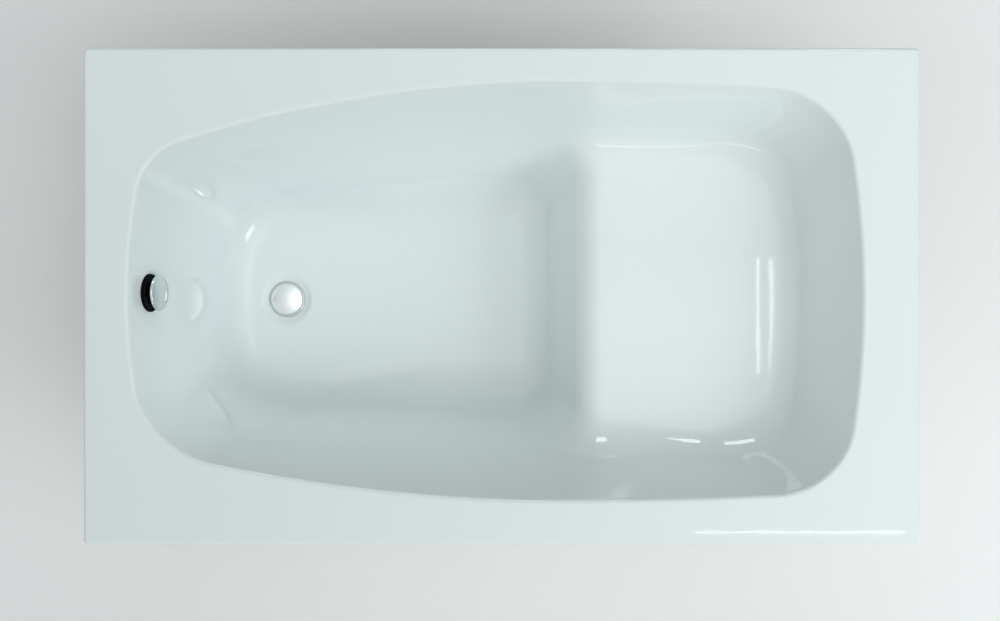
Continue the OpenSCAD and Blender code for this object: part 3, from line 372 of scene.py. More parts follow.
# the basin's surface, by the same rule as the part's skin
def ease(a, b, v):
    t = np.clip((v - a) / (b - a), 0, 1)
    return t * t * (3 - 2 * t)


def mix(a, b, t):
    return a + (b - a) * t


def cove(a, b, r):
    return np.where((a < r) & (b < r), r - np.hypot(r - a, r - b), np.minimum(a, b))


def brow(a, b, r):
    return np.where((a > -r) & (b > -r), np.hypot(a + r, b + r) - r, np.maximum(a, b))


def inside(x, y):  # how far a point lies inside the opening's outline
    back, foot = y >= 0, x < 0
    o = opening
    run = (x - o["wideX"]) / o["halfRun"]
    draw = np.where(run < 0, np.where(back, o["taperBack"], o["taperFront"]),
                    np.where(back, o["drawBack"], o["drawFront"]))
    side = np.where(back, o["back"], o["front"]) - draw * run * run - abs(y)
    bow = (y / o["bowAt"]) ** 2
    end = np.where(foot, x - o["foot"] - o["footBow"] * bow, o["head"] - o["headBow"] * bow - x)
    r = np.where(foot, np.where(back, o["footCornerBack"], o["footCornerFront"]),
                 np.where(back, o["headCornerBack"], o["headCornerFront"]))
    return cove(end, side, r)


def floorHeight(x, y):
    fall = basin["fall"] * (x - drain["x"])
    near = 1 - ease(drain["seatR"], drain["dishR"], np.hypot(x - drain["x"], y - drain["y"]))
    return tub["rim"] - basin["depth"] + fall - (drain["dish"] + fall) * near


def wallValue(kind, nx, ny, x):  # the walls' Lean or Cove, blended from end to side and from footwell to seat
    b = basin
    seat = ease(b["riserX"] - b["changeFrom"], b["riserX"] + b["changeTo"], x)
    side = mix(b["well" + kind], b["seat" + kind], seat)
    return mix(np.where(nx < 0, b["foot" + kind], b["back" + kind]), side, ny * ny)


def freeSpace(x, y, z, gap, lean, r):
    riserLean = math.radians(basin["riserLean"])
    riserFoot = tub["rim"] - basin["depth"]
    riser = (basin["riserX"] + (z - riserFoot) * math.tan(riserLean) - x) * math.cos(riserLean)
    bowl = cove(z - floorHeight(x, y), brow(z - basin["seat"], riser, basin["seatEdge"]), basin["riserFoot"])
    return cove(bowl, gap * np.cos(lean) - (tub["rim"] - z) * np.sin(lean), r)


# how finely the surface is sought: halvings, probes on each ray, rounds of evening out the rings, how much
# a turn counts as length, and where on the way down (as a share) the corners grow rounder
gridLook = {"halvings": 34, "reach": (0.1, 1.3), "slopeStep": 0.001, "probes": 700, "evening": 3,
            "turnWeight": 0.055, "softening": (0.02, 0.20), "overflowEnd": -0.55}


def halved(low, high, isFree):  # where a value turns free between two arrays
    for _ in range(gridLook["halvings"]):
        mid = (low + high) / 2
        free = isFree(mid)
        low, high = np.where(free, low, mid), np.where(free, mid, high)
    return (low + high) / 2


def soften(values):  # evens a value out over neighbouring rays
    pitch = np.arange(len(values) // 2 + 1)
    return np.fft.irfft(np.fft.rfft(values) * np.exp(-0.5 * (tub["cornerSpread"] * pitch) ** 2), len(values))


def makeFan(rays):  # rays from the hub to the opening's edge, with the edge's normals
    u = np.arange(rays) * 2 * math.pi / rays
    a = np.arctan2(tub["width"] * np.sin(u), tub["length"] * np.cos(u))
    c, s = np.cos(a), np.sin(a)
    near, far = (np.full(rays, v) for v in gridLook["reach"])
    reach = halved(near, far, lambda r: inside(hubX + r * c, r * s) <= 0)
    x, y, h = hubX + reach * c, reach * s, gridLook["slopeStep"]
    nx, ny = inside(x - h, y) - inside(x + h, y), inside(x, y - h) - inside(x, y + h)
    size = np.hypot(nx, ny)
    nx, ny = nx / size, ny / size
    facing = nx * c + ny * s
    softX, softY = soften(nx), soften(ny)
    size = np.hypot(softX, softY)
    return {"u": u, "c": c, "s": s, "reach": reach, "nx": nx, "ny": ny, "facing": facing,
            "softX": softX / size, "softY": softY / size, "softGap": soften(reach * facing)}


def skinPoints(fan, shares):  # rows of shares, one for each ray
    reach = fan["reach"][:, None]
    x = hubX + reach * shares * fan["c"][:, None]
    y = reach * shares * fan["s"][:, None]
    deep = ease(*gridLook["softening"], 1 - shares)  # the corners grow rounder as they go down
    nx, ny = (mix(fan[a][:, None], fan[b][:, None], deep) for a, b in (("nx", "softX"), ("ny", "softY")))
    nx, ny = nx / np.hypot(nx, ny), ny / np.hypot(nx, ny)
    gap = (1 - shares) * mix(reach * fan["facing"][:, None], fan["softGap"][:, None], deep)
    lean, r = np.radians(wallValue("Lean", nx, ny, x)), wallValue("Cove", nx, ny, x)
    low, high = np.full(x.shape, drain["z"] - 0.001), np.full(x.shape, tub["rim"])
    z = halved(low, high, lambda mid: freeSpace(x, y, mid, gap, lean, r) > 0)
    return np.stack([x, y, z], -1)


def gridNormals(rings, hub):
    inner = np.concatenate([np.broadcast_to(hub, (1,) + rings.shape[1:]), rings[:-1]])
    outer = np.concatenate([rings[1:], rings[-1:]])
    n = np.cross(outer - inner, np.roll(rings, -1, 1) - np.roll(rings, 1, 1))
    return n / np.linalg.norm(n, axis=-1, keepdims=True)


def ringShares(fan, last, ringCount):  # closer rings where the surface turns
    probes = last[:, None] * np.linspace(0, 1, gridLook["probes"])
    line = skinPoints(fan, probes)
    step = np.diff(np.stack([probes * fan["reach"][:, None], line[..., 2]], -1), axis=1)
    slope = np.arctan2(step[..., 1], step[..., 0])
    turning = np.abs(np.diff(slope, axis=1, prepend=slope[:, :1]))
    sums = np.cumsum(np.hypot(step[..., 0], step[..., 1]) + gridLook["turnWeight"] * turning, axis=1)
    sums = np.concatenate([np.zeros((len(last), 1)), sums], 1) / sums[:, -1:]
    goals = np.arange(1, ringCount + 1) / ringCount
    shares = np.array([np.interp(goals, sums[i], probes[i]) for i in range(len(last))])
    for _ in range(gridLook["evening"]):  # neighbouring rays keep their rings in line
        shares = 0.5 * shares + 0.25 * (np.roll(shares, 1, 0) + np.roll(shares, -1, 0))
    shares[:, -1] = last
    return shares


def makeGrid(look):
    fan, edge, steps = makeFan(look["rays"]), tub["mouthEdge"], look["mouthSteps"]
    lean = np.radians(wallValue("Lean", fan["nx"], fan["ny"], hubX + fan["reach"] * fan["c"]))
    tangent = edge * np.tan((math.pi / 2 - lean) / 2)
    last = 1 - tangent * np.sin(lean) / (fan["facing"] * fan["reach"])
    rings = np.swapaxes(skinPoints(fan, ringShares(fan, last, look["rings"])), 0, 1)
    seat, off = np.array(overflowAt), np.array(offWall)  # the wall is flat where the overflow sits
    d = (rings - seat) @ off
    away = np.linalg.norm(rings - seat - d[..., None] * off, axis=-1)
    flat = 1 - ease(overflow["seatR"], overflow["seatR"] + overflow["seatFade"], away)
    rings = rings - (d * flat * (rings[..., 0] < gridLook["overflowEnd"]))[..., None] * off
    hub = np.array([hubX, 0, float(floorHeight(hubX, 0.0))])
    mouth, mouthNormals = [], []
    for m in range(steps + 1):
        turn = mix(lean, math.pi / 2, m / steps)
        r = fan["reach"] - (edge * np.cos(turn) - tangent) / fan["facing"]
        z = tub["rim"] - edge * (1 - np.sin(turn))
        mouth.append(np.stack([hubX + r * fan["c"], r * fan["s"], z], -1))
        mouthNormals.append(np.stack([-fan["nx"] * np.cos(turn), -fan["ny"] * np.cos(turn), np.sin(turn)], -1))
    return {"fan": fan, "hub": hub, "rings": np.concatenate([rings[:-1], np.array(mouth)]),
            "normals": np.concatenate([gridNormals(rings, hub)[:-1], np.array(mouthNormals)])}


def rimRing(fan, inset, z):  # a rectangle with round corners; each corner takes 30 degrees of the fan
    r = max(tub["corner"] - inset, 0.0005)
    halfL, halfW = tub["length"] / 2 - inset, tub["width"] / 2 - inset
    c, s = np.cos(fan["u"]), np.sin(fan["u"])
    a = np.degrees(np.arctan2(abs(s), abs(c)))
    turn = np.radians(90 * (a - 30) / 30)
    x = np.where(a <= 30, halfL, np.where(a >= 60, (halfL - r) * (90 - a) / 30, halfL - r + r * np.cos(turn)))
    y = np.where(a <= 30, (halfW - r) * a / 30, np.where(a >= 60, halfW, halfW - r + r * np.sin(turn)))
    return np.stack([x * np.sign(np.round(c, 6)), y * np.sign(np.round(s, 6)), np.full(len(c), z)], -1)


def closedRings(first, rings, last):  # a closed skin from one end point over the rings to the other
    count, n = len(rings), len(rings[0])
    points = np.concatenate([[first], np.concatenate(rings), [last]])
    i = np.arange(n)
    k = (i + 1) % n
    faces = [(0, 1 + a, 1 + b) for a, b in zip(i.tolist(), k.tolist())]
    for j in range(count - 1):
        a, b = 1 + j * n + i, 1 + j * n + k
        faces += list(zip(a.tolist(), (a + n).tolist(), (b + n).tolist(), b.tolist()))
    tail = len(points) - 1
    faces += [(tail, tail - n + b, tail - n + a) for a, b in zip(i.tolist(), k.tolist())]
    return points, faces


portLook = {"segments": 96, "depth": 0.08}


def cutPorts(piece, radius):  # straight holes for the drain and the overflow
    for at, axis in ((drainAt, upward), (overflowAt, offWall)):
        bm = bmesh.new()
        bmesh.ops.create_cone(bm, cap_ends=True, radius1=radius, radius2=radius, **portLook)
        cutter = linked("portCutter", meshFrom(bm, "portCutter"))
        for move in (axis.to_track_quat("Z", "Y").to_matrix().to_4x4(), Matrix.Translation(at)):
            cutter.data.transform(move)
        cut = piece.modifiers.new("port", "BOOLEAN")
        cut.operation, cut.object, cut.solver = "DIFFERENCE", cutter, "EXACT"
        settled(piece)
        bpy.data.objects.remove(cutter)


# bath skin: basin, rolled mouth, flat rim and turned-down lip
skinLook = {"rays": 320, "rings": 96, "mouthSteps": 10, "lipSteps": 8, "lipRound": 0.0012,
            "guard": 0.0015, "lipGuard": 0.002}  # close rings beside the bends keep the rim and the lip flat


def makeSkin(grid):
    fan, look = grid["fan"], skinLook
    rim, edge, t, guard, straight = tub["rim"], tub["edge"], tub["skin"], look["guard"], look["lipGuard"]
    low, r = rim - tub["lip"], look["lipRound"]
    mouth = grid["rings"][-1] + guard * np.stack([fan["nx"], fan["ny"], 0 * fan["nx"]], -1)
    turns = [math.pi / 2 * k / look["lipSteps"] for k in range(1, look["lipSteps"] + 1)]
    bend = [(edge * (1 - math.sin(v)), rim - edge * (1 - math.cos(v))) for v in turns]
    outside = [(edge + guard, rim), (edge, rim), *bend, (0, rim - edge - straight), (0, low + r + straight),
               (0, low + r), (0.3 * r, low + 0.3 * r), (r, low), (t - r, low), (t - 0.3 * r, low + 0.3 * r),
               (t, low + r), (t, rim - edge), (edge, rim - t)]  # inset and height of each ring
    rims = [rimRing(fan, a, z) for a, z in outside]
    below = (grid["rings"] - t * grid["normals"])[::-1]
    hub = grid["hub"]
    points, faces = closedRings(hub, [*grid["rings"], mouth, *rims, *below], hub - np.array([0, 0, t]))
    piece = meshPiece("bathSkin", points, faces, "acrylic")
    cutPorts(piece, drain["port"])
    smoothed(piece.data, 55)
    return placed(piece, "tub", "acrylic", "bath_shell")


skin = makeSkin(makeGrid(skinLook))
print("bath skin made,", len(skin.data.polygons), "faces")


# glass fibre laminate under the skin, with an uneven outer face
laminateLook = {"rays": 200, "rings": 60, "mouthSteps": 5, "thick": 0.003, "gap": 0.0003, "inset": 0.009,
                "rough": 0.0007, "under": 0.0005, "lumpRounds": 2, "seed": 4, "seatGap": 0.003}


def makeLaminate():
    look = laminateLook
    coarse = makeGrid(look)
    near = tub["skin"] + look["gap"]
    far = near + look["thick"]
    rng = np.random.default_rng(look["seed"])
    lumps = rng.random(coarse["rings"].shape[:2])
    for _ in range(look["lumpRounds"]):
        lumps = (lumps + np.roll(lumps, 1, 1) + np.roll(lumps, -1, 1)) / 3
    lumps[1:-1] = (lumps[:-2] + lumps[1:-1] + lumps[2:]) / 3
    depth = far - look["under"] - look["rough"] * lumps
    outer = coarse["rings"] - depth[..., None] * coarse["normals"]
    rim, inset, hub = tub["rim"], look["inset"], coarse["hub"]
    edge = [rimRing(coarse["fan"], a, z) for a, z in
            ((inset, rim - near), (inset - 0.0006, rim - near - 0.0012), (inset, rim - far + 0.0006),
             (inset + 0.003, rim - far + 0.0004))]
    inner = coarse["rings"] - near * coarse["normals"]
    points, faces = closedRings(hub - np.array([0, 0, near]), [*inner, *edge, *outer[::-1]],
                                hub - np.array([0, 0, far - 0.0008]))
    piece = meshPiece("fibreLaminate", points, faces, "fibre")
    cutPorts(piece, drain["seatR"] + look["seatGap"])
    smoothed(piece.data, 60)
    return placed(piece, "tub", "glass_fibre", "glass_fibre_backing")


# geometry node trees, with the same maths as the shaders
class Graph(Sheet):
    def __init__(self, name, **sizes):
        super().__init__(bpy.data.node_groups.new(name, "GeometryNodeTree"))
        self.tree.is_modifier = True
        face = self.tree.interface
        face.new_socket("Geometry", in_out="INPUT", socket_type="NodeSocketGeometry")
        face.new_socket("Geometry", in_out="OUTPUT", socket_type="NodeSocketGeometry")
        self.sizes = {}  # each input's value by its socket's identifier
        for key, value in sizes.items():
            kind = ("NodeSocketMaterial" if isinstance(value, bpy.types.Material) else
                    "NodeSocketInt" if isinstance(value, int) else "NodeSocketFloat")
            self.sizes[face.new_socket(key, in_out="INPUT", socket_type=kind).identifier] = value
        self.given = self.add("NodeGroupInput")

    def finish(self, geometry):  # every tree has an input named Finish, its material
        whole = self.add("GeometryNodeRealizeInstances", {}, {"Geometry": geometry})
        dressed = self.add("GeometryNodeSetMaterial", {}, {"Geometry": whole, "Material": self.given["Finish"]})
        self.put(self.tree.nodes.new("NodeGroupOutput").inputs[0], dressed)

    def grown(self, base, name):  # runs the tree on a base object and keeps the plain mesh
        modifier = base.modifiers.new(name, "NODES")
        modifier.node_group = self.tree
        for key, value in self.sizes.items():
            modifier[key] = value
        mesh = evaluated(base)
        mesh.name = name
        bpy.data.objects.remove(base)
        return linked(name, mesh)


def pointBase(points=()):
    base = linked("treeBase", bpy.data.meshes.new("treeBase"))
    base.data.from_pydata([tuple(p) for p in points], [], [])
    return base


def pathBase(points):
    curve = bpy.data.curves.new("treePath", "CURVE")
    curve.dimensions = "3D"
    spline = curve.splines.new("POLY")
    spline.points.add(len(points) - 1)
    for target, p in zip(spline.points, points):
        target.co = (*p, 1)
    return linked("treePath", curve)


def curvePoints(p, count):  # a bend from its two ends and the two points that it heads for
    t = np.linspace(0, 1, count)[:, None]
    p = [np.array(v) for v in p]
    return (1 - t) ** 3 * p[0] + 3 * t * (1 - t) ** 2 * p[1] + 3 * t * t * (1 - t) * p[2] + t ** 3 * p[3]


# chopped strands lie over the laminate
strandLook = {"count": 5200, "length": 0.042, "width": 0.0009, "seed": 11, "across": 5, "lift": 0.00025,
              "rimGap": 0.03}


def makeStrands(laminate, skin):
    look = strandLook
    g = Graph("choppedStrands", Count=look["count"], Length=look["length"], Width=look["width"],
              Seed=look["seed"], Finish=finishes["strand"])
    bm = bmesh.new()
    bm.from_mesh(laminate.data)
    bm.faces.ensure_lookup_table()  # only the outer face of the laminate takes strands
    top = tub["rim"] - look["rimGap"]
    gone = [f for f in bm.faces if f.normal.z > -0.05 or f.calc_center_median().z > top]
    bmesh.ops.delete(bm, geom=gone, context="FACES")
    base = linked("strandBase", meshFrom(bm, "strandBase"))
    area = sum(p.area for p in base.data.polygons)
    spread = g.add("GeometryNodeDistributePointsOnFaces", {},
                   {"Mesh": g.given["Geometry"], "Density": look["count"] / area, "Seed": g.given["Seed"]})
    strand = g.add("GeometryNodeMeshGrid", {}, {"Size X": g.given["Length"], "Size Y": g.given["Width"],
                   "Vertices X": look["across"], "Vertices Y": 2})
    spin = g.add("FunctionNodeRandomValue", {"data_type": "FLOAT"},
                 {"Min": 0.0, "Max": 2 * math.pi, "Seed": g.given["Seed"]})
    facing = g.add("FunctionNodeAlignRotationToVector", {"axis": "Z"}, {"Vector": spread["Normal"]})
    spun = g.add("FunctionNodeAxisAngleToRotation", {}, {"Axis": (0, 0, 1), "Angle": spin})
    turned = g.add("FunctionNodeRotateRotation", {"rotation_space": "LOCAL"},
                   {"Rotation": facing, "Rotate By": spun})
    laid = g.add("GeometryNodeInstanceOnPoints", {},
                 {"Points": spread["Points"], "Instance": strand, "Rotation": turned})
    g.finish(g.add("GeometryNodeTranslateInstances", {}, {"Instances": laid, "Translation": (0, 0, look["lift"])}))
    piece = g.grown(base, "choppedStrands")
    bm = bmesh.new()
    bm.from_mesh(piece.data)
    verts, each, poking = list(bm.verts), 2 * look["across"], []
    for start in range(0, len(verts), each):  # a strand that would come through the skin or cross a hole goes
        for v in verts[start:start + each]:
            hit, where, _, _ = skin.ray_cast((v.co.x, v.co.y, 2), (0, 0, -1))
            if not hit or v.co.z > where.z - tub["skin"]:
                poking += verts[start:start + each]
                break
    bmesh.ops.delete(bm, geom=poking, context="VERTS")
    bm.to_mesh(piece.data)
    bm.free()
    print("strands left out,", len(poking) // each)
    placed(piece, "tub", "glass_fibre")


# crisp copies: a CAD node's own shape with rounded edges and its finish; angles are in degrees
crispLook = {"weld": 2e-6, "flat": 0.6, "bevelFrom": 38, "sharpFrom": 32, "segments": 2}


def crispCopy(node, body, slot, finish, width):
    look = crispLook
    mesh = nodes[node].data.copy()
    bm = bmesh.new()
    bm.from_mesh(mesh)
    bmesh.ops.remove_doubles(bm, verts=bm.verts, dist=look["weld"])
    bmesh.ops.dissolve_limit(bm, angle_limit=math.radians(look["flat"]), verts=bm.verts, edges=bm.edges)
    bm.to_mesh(mesh)
    bm.free()
    mesh.materials.clear()
    mesh.materials.append(finishes[finish])
    piece = linked(node + "_finished", mesh)
    mesh.shade_smooth()
    bevel = piece.modifiers.new("edges", "BEVEL")
    bevel.width, bevel.segments, bevel.limit_method = width, look["segments"], "ANGLE"
    bevel.angle_limit = math.radians(look["bevelFrom"])
    bevel.use_clamp_overlap = True
    settled(piece)
    piece.data.set_sharp_from_angle(angle=math.radians(look["sharpFrom"]))
    weight = piece.modifiers.new("weight", "WEIGHTED_NORMAL")
    weight.keep_sharp = True
    settled(piece)
    placed(piece, body, slot, node)


# turned pieces: a profile of radius and height, in millimetres, spun round an axis
def rounded(profile, passes=2):  # cuts each corner of an open profile, so that it turns smoothly
    p = [np.array(v, float) for v in profile]
    for _ in range(passes):
        q = [p[0]]
        for a, b in zip(p[:-1], p[1:]):
            q += [a * 0.75 + b * 0.25, a * 0.25 + b * 0.75]
        p = q + [p[-1]]
    return p


def domed(base, height, wide, start, count):  # a flat dome's profile, from its edge to the axis
    return [(k, base + height * (1 - (k / wide) ** 2)) for k in np.linspace(start, 0, count)]


def ringFaces(bm, columns, loop):  # walls between neighbouring columns of points, all the way round
    count = len(columns[0])
    for k, here in enumerate(columns):
        there = columns[(k + 1) % len(columns)]
        for j in range(count if loop else count - 1):
            m = (j + 1) % count
            bm.faces.new((here[j], there[j], there[m], here[m]))


def spunMesh(profile, sides, loop=False):
    ring = [(float(r) / 1000, float(z) / 1000) for r, z in profile]
    bm = bmesh.new()
    columns = []
    for k in range(sides):
        a = 2 * math.pi * k / sides
        columns.append([bm.verts.new((r * math.cos(a), r * math.sin(a), z)) for r, z in ring])
    ringFaces(bm, columns, loop)
    bmesh.ops.remove_doubles(bm, verts=bm.verts, dist=1e-7)
    bmesh.ops.recalc_face_normals(bm, faces=bm.faces)
    return bm


def addBar(bm, low, high, turn, edge=0.0006):  # a bar between two corners in millimetres, turned about z
    part = bmesh.new()
    bmesh.ops.create_cube(part, size=1)
    low, high = np.array(low) / 1000, np.array(high) / 1000
    for v in part.verts:
        v.co = Vector((low + high) / 2 + np.array(v.co) * (high - low))
    bmesh.ops.bevel(part, geom=list(part.edges), offset=edge, segments=2, affect="EDGES", profile=0.5)
    part.transform(Matrix.Rotation(math.radians(turn), 4, "Z"))
    merge(bm, part)


def pieceFrom(bm, name, finish, at, axis=upward, smooth=38):
    z = axis.normalized()
    x = downWall if abs(z.z) < 0.5 and abs(z.x) > 0.5 else Vector((1, 0, 0))
    x = (x - z * x.dot(z)).normalized()
    turn = Matrix((x, z.cross(x), z)).transposed().to_4x4()
    bm.transform(Matrix.Translation(at) @ turn)
    piece = linked(name, meshFrom(bm, name))
    piece.data.materials.append(finishes[finish])
    smoothed(piece.data, smooth)
    return piece


# overflow: black ring, turning knob and its shaft, in millimetres
overflowLook = {"lay": 0.1, "ringR": 37.5, "ringT": 4, "sleeveR": 25.5, "sleeveT": 3, "sleeveL": 14,
                "knobR": 35, "stand": 15, "dome": 6.6, "domeR": 31.0, "hub": 8, "shaft": 5, "run": 0.06,
                "arm": 4, "pinOut": 10}
spiderTurns = (90, 210, 330)  # bearings of the three arms in the overflow ring and in the drain ring


def addSpider(bm, low, high, hub, bore, foot, top):  # three arms and the hub they carry
    for turn in spiderTurns:
        addBar(bm, low, high, turn)
    merge(bm, spunMesh([(bore, foot), (hub - 0.5, foot), (hub, foot + 0.5), (hub, top - 0.5), (hub - 0.5, top),
                        (bore, top)], 64, True))


def makeOverflow():
    o = overflowLook
    lay, r, face, inner = o["lay"], o["ringR"], o["lay"] + o["ringT"], o["sleeveR"] - o["sleeveT"]
    ring = spunMesh([(inner, -o["sleeveL"]), (o["sleeveR"], -o["sleeveL"]), (o["sleeveR"], lay), (r - 0.3, lay),
                     (r, 0.4), (r, face - 1.7), (r - 0.5, face - 0.6), (r - 1.6, face), (r - 3.4, face),
                     (r - 4.0, face - 0.5), (inner + 2.2, face - 0.5), (inner + 0.6, face - 0.9),
                     (inner, face - 1.8)], 144, True)
    addSpider(ring, (o["hub"] - 1, -o["arm"] / 2, -3.9), (inner + 0.8, o["arm"] / 2, face - 1), o["hub"],
              o["shaft"] + o["run"], -4, face)
    # the ring takes the darker black: real black plastic with painted shade
    placed(pieceFrom(ring, "overflowRing", "ink", overflowAt, offWall), "tub", "black_plastic",
           "overflow_flange")
    z, r = face + o["stand"], o["knobR"]
    dome = domed(z + 3.5, o["dome"] - 3.5, o["domeR"], 30.4, 22)
    edge = rounded([(r - 0.6, z), (r, z + 0.5), (r - 0.1, z + 2.4), (r - 1.4, z + 4.1), (r - 2.9, z + 4.0),
                    (r - 3.9, z + 3.3), (30.4, z + 3.56)])
    knob = spunMesh([(0, z - 3), (o["hub"] + 1, z - 3), (o["hub"] + 1, z + 1.5), (r - 4.2, z + 1.5),
                     (r - 3, z), *edge, *dome[1:]], 160)
    placed(pieceFrom(knob, "turningKnob", "chrome", overflowAt, offWall, 50), "knob", "chrome", "overflow_knob")
    shaft = spunMesh([(0, -44), (13.4, -44), (14, -43.4), (14, -40.6), (13.4, -40), (o["shaft"], -40),
                      (o["shaft"], 15.6), (o["shaft"] - 0.4, z - 3.1), (0, z - 3.1)], 64)
    pin = spunMesh([(0, -41), (2.5, -41), (2.5, -34.6), (2.1, -34), (0, -34)], 32)
    pin.transform(Matrix.Translation((o["pinOut"] / 1000, 0, 0)))
    merge(shaft, pin)
    placed(pieceFrom(shaft, "knobShaft", "brass", overflowAt, offWall), "knob", "shaft_metal", "knob_shaft")


# drain: ring with its spider, domed plug on a stem, in millimetres
drainLook = {"lay": 0.1, "ringR": 39, "thread": 24.5, "throat": 22, "plugR": 33.5, "plugLow": 4.2,
             "dome": 6.8, "domeR": 31.0, "stem": 4, "run": 0.06, "hub": 7, "arm": 4}


def makeDrain():
    d = drainLook
    lay, r, thread, throat = d["lay"], d["ringR"], d["thread"], d["throat"]
    top = rounded([(r, lay), (r, 1.6), (r - 1.2, 3.3), (r - 3.4, 3.7), (30.5, 3.4), (26.5, 2.8), (23.8, 1.6),
                   (throat, -3)])
    ring = spunMesh([(throat, -18), (thread - 0.4, -18), (thread, -17.4), (thread, 1.4), (34.5, 1.4),
                     (34.5, lay), *top], 160, True)
    addSpider(ring, (6, -d["arm"] / 2, -17), (23, d["arm"] / 2, -13), d["hub"], d["stem"] + d["run"], -17, -13)
    # the drain ring takes the darker chrome, painted shade round the plug
    placed(pieceFrom(ring, "drainRing", "chromeDeep", drainAt, smooth=46), "tub", "chrome", "drain_flange")
    r, low = d["plugR"], d["plugLow"]
    dome = domed(low + 3.3, d["dome"] - 3.3, d["domeR"], 30.6, 24)
    edge = rounded([(r - 0.9, low), (r, low + 0.5), (r, low + 1.6), (r - 0.9, low + 2.9), (30.6, low + 3.39)])
    cap = spunMesh([(0, low), *edge, *dome[1:]], 160)
    placed(pieceFrom(cap, "plugCap", "cap", drainAt, smooth=50), "plug", "chrome", "plug_cap")


# feet: threaded rod, two nuts and a ribbed pad, at four places under the footwell and two under the seat
footLook = {"pitch": 0.00175, "crest": 0.006, "depth": 0.0011, "low": 0.0081, "padRibs": 8, "nutAcross": 0.019,
            "nutHeight": 0.010, "nutBore": 0.00605, "ribHalf": 0.0009}
underWell = {"rodTop": 0.1639, "nuts": (0.13595, 0.12315)}
underSeat = {"rodTop": 0.1261, "nuts": (0.09485, 0.0847)}
feet = [(-0.340, -0.250, underWell), (-0.340, 0.250, underWell), (-0.023, -0.250, underWell),
        (-0.023, 0.250, underWell), (0.3845, -0.185, underSeat), (0.3845, 0.185, underSeat)]


def threadTree(length):
    look = footLook
    g = Graph("screwThread", Length=length, Pitch=look["pitch"], Crest=look["crest"], Depth=look["depth"],
              Finish=finishes["bright"])
    length, pitch, half = g.given["Length"], g.given["Pitch"], g.given["Depth"] * 0.5
    middle = g.given["Crest"] - half
    turns = (length - pitch * 1.2) / pitch
    helix = g.add("GeometryNodeCurveSpiral", {}, {"Resolution": 20, "Rotations": turns, "Start Radius": middle,
                  "End Radius": middle, "Height": turns * pitch})
    profile = g.add("GeometryNodeCurvePrimitiveCircle", {"mode": "RADIUS"}, {"Resolution": 4, "Radius": half})
    ridge = g.add("GeometryNodeCurveToMesh", {}, {"Curve": helix, "Profile Curve": profile, "Fill Caps": True})
    core = g.add("GeometryNodeMeshCylinder", {},
                 {"Vertices": 32, "Radius": middle - half * 0.35, "Depth": length})
    join = g.tree.nodes.new("GeometryNodeJoinGeometry")
    for shape, rise in ((ridge, pitch * 0.6), (core, length * 0.5)):
        lift = g.add("ShaderNodeCombineXYZ", {}, {"Z": rise})
        g.put(join.inputs[0], g.add("GeometryNodeTransform", {}, {"Geometry": shape, "Translation": lift}))
    g.finish(Wire(g, join, join.outputs[0]))
    return g


def makeThreads():
    low = footLook["low"]
    for i, (x, y, stand) in enumerate(feet, 1):
        rod = threadTree(stand["rodTop"] - low).grown(pointBase(), "footThread%d" % i)
        rod.data.transform(Matrix.Translation((x, y, low)))
        smoothed(rod.data, 50)
        placed(rod, "foot_%d" % i, "zinc_steel", "foot_rod_%d" % i)


def nutMesh(across, height, bore, sides=96, chamfer=0.0006):  # six sides, turned corners, standing on z = 0
    flat = across / 2
    corner = flat * 0.95
    bm = bmesh.new()
    columns = []
    for k in range(sides):
        a = 2 * math.pi * k / sides
        r = flat / math.cos((a + math.pi / 6) % (math.pi / 3) - math.pi / 6)
        drop = (r - corner) * math.tan(math.radians(30))
        profile = ((bore, chamfer), (bore + chamfer, 0), (corner, 0), (r, drop), (r, height - drop),
                   (corner, height), (bore + chamfer, height), (bore, height - chamfer))
        columns.append([bm.verts.new((math.cos(a) * q, math.sin(a) * q, z)) for q, z in profile])
    ringFaces(bm, columns, True)
    bmesh.ops.recalc_face_normals(bm, faces=bm.faces)
    return bm


def fastened(bm, name, finish, groups):  # one fastener on each point of a group, one piece for each group
    source = linked(name + "Source", meshFrom(bm, name + "Source"))
    smoothed(source.data, 30)
    g = Graph(name, Finish=finishes[finish])
    shape = g.add("GeometryNodeObjectInfo", {}, {"Object": source})
    g.finish(g.add("GeometryNodeInstanceOnPoints", {},
                   {"Points": g.given["Geometry"], "Instance": shape["Geometry"]}))
    pieces = [g.grown(pointBase(points), own) for own, points in groups]
    bpy.data.objects.remove(source)
    return pieces


def makeNuts():
    look = footLook
    groups = [("footNuts%d" % i, [(x, y, z) for z in stand["nuts"]]) for i, (x, y, stand) in enumerate(feet, 1)]
    nut = nutMesh(look["nutAcross"], look["nutHeight"], look["nutBore"])
    for i, nuts in enumerate(fastened(nut, "footNuts", "bright", groups), 1):
        placed(nuts, "nuts_%d" % i, "zinc_steel", "foot_nuts_%d" % i)


def ribMesh(outline, half):  # a flat rib across the y axis; its outline is in millimetres
    rib = bmesh.new()
    front, back = ([rib.verts.new((a / 1000, side, b / 1000)) for a, b in outline] for side in (-half, half))
    rib.faces.new(front)
    rib.faces.new(back[::-1])
    for a in range(len(outline)):
        b = (a + 1) % len(outline)
        rib.faces.new((front[a], back[a], back[b], front[b]))
    bmesh.ops.recalc_face_normals(rib, faces=rib.faces)
    return rib


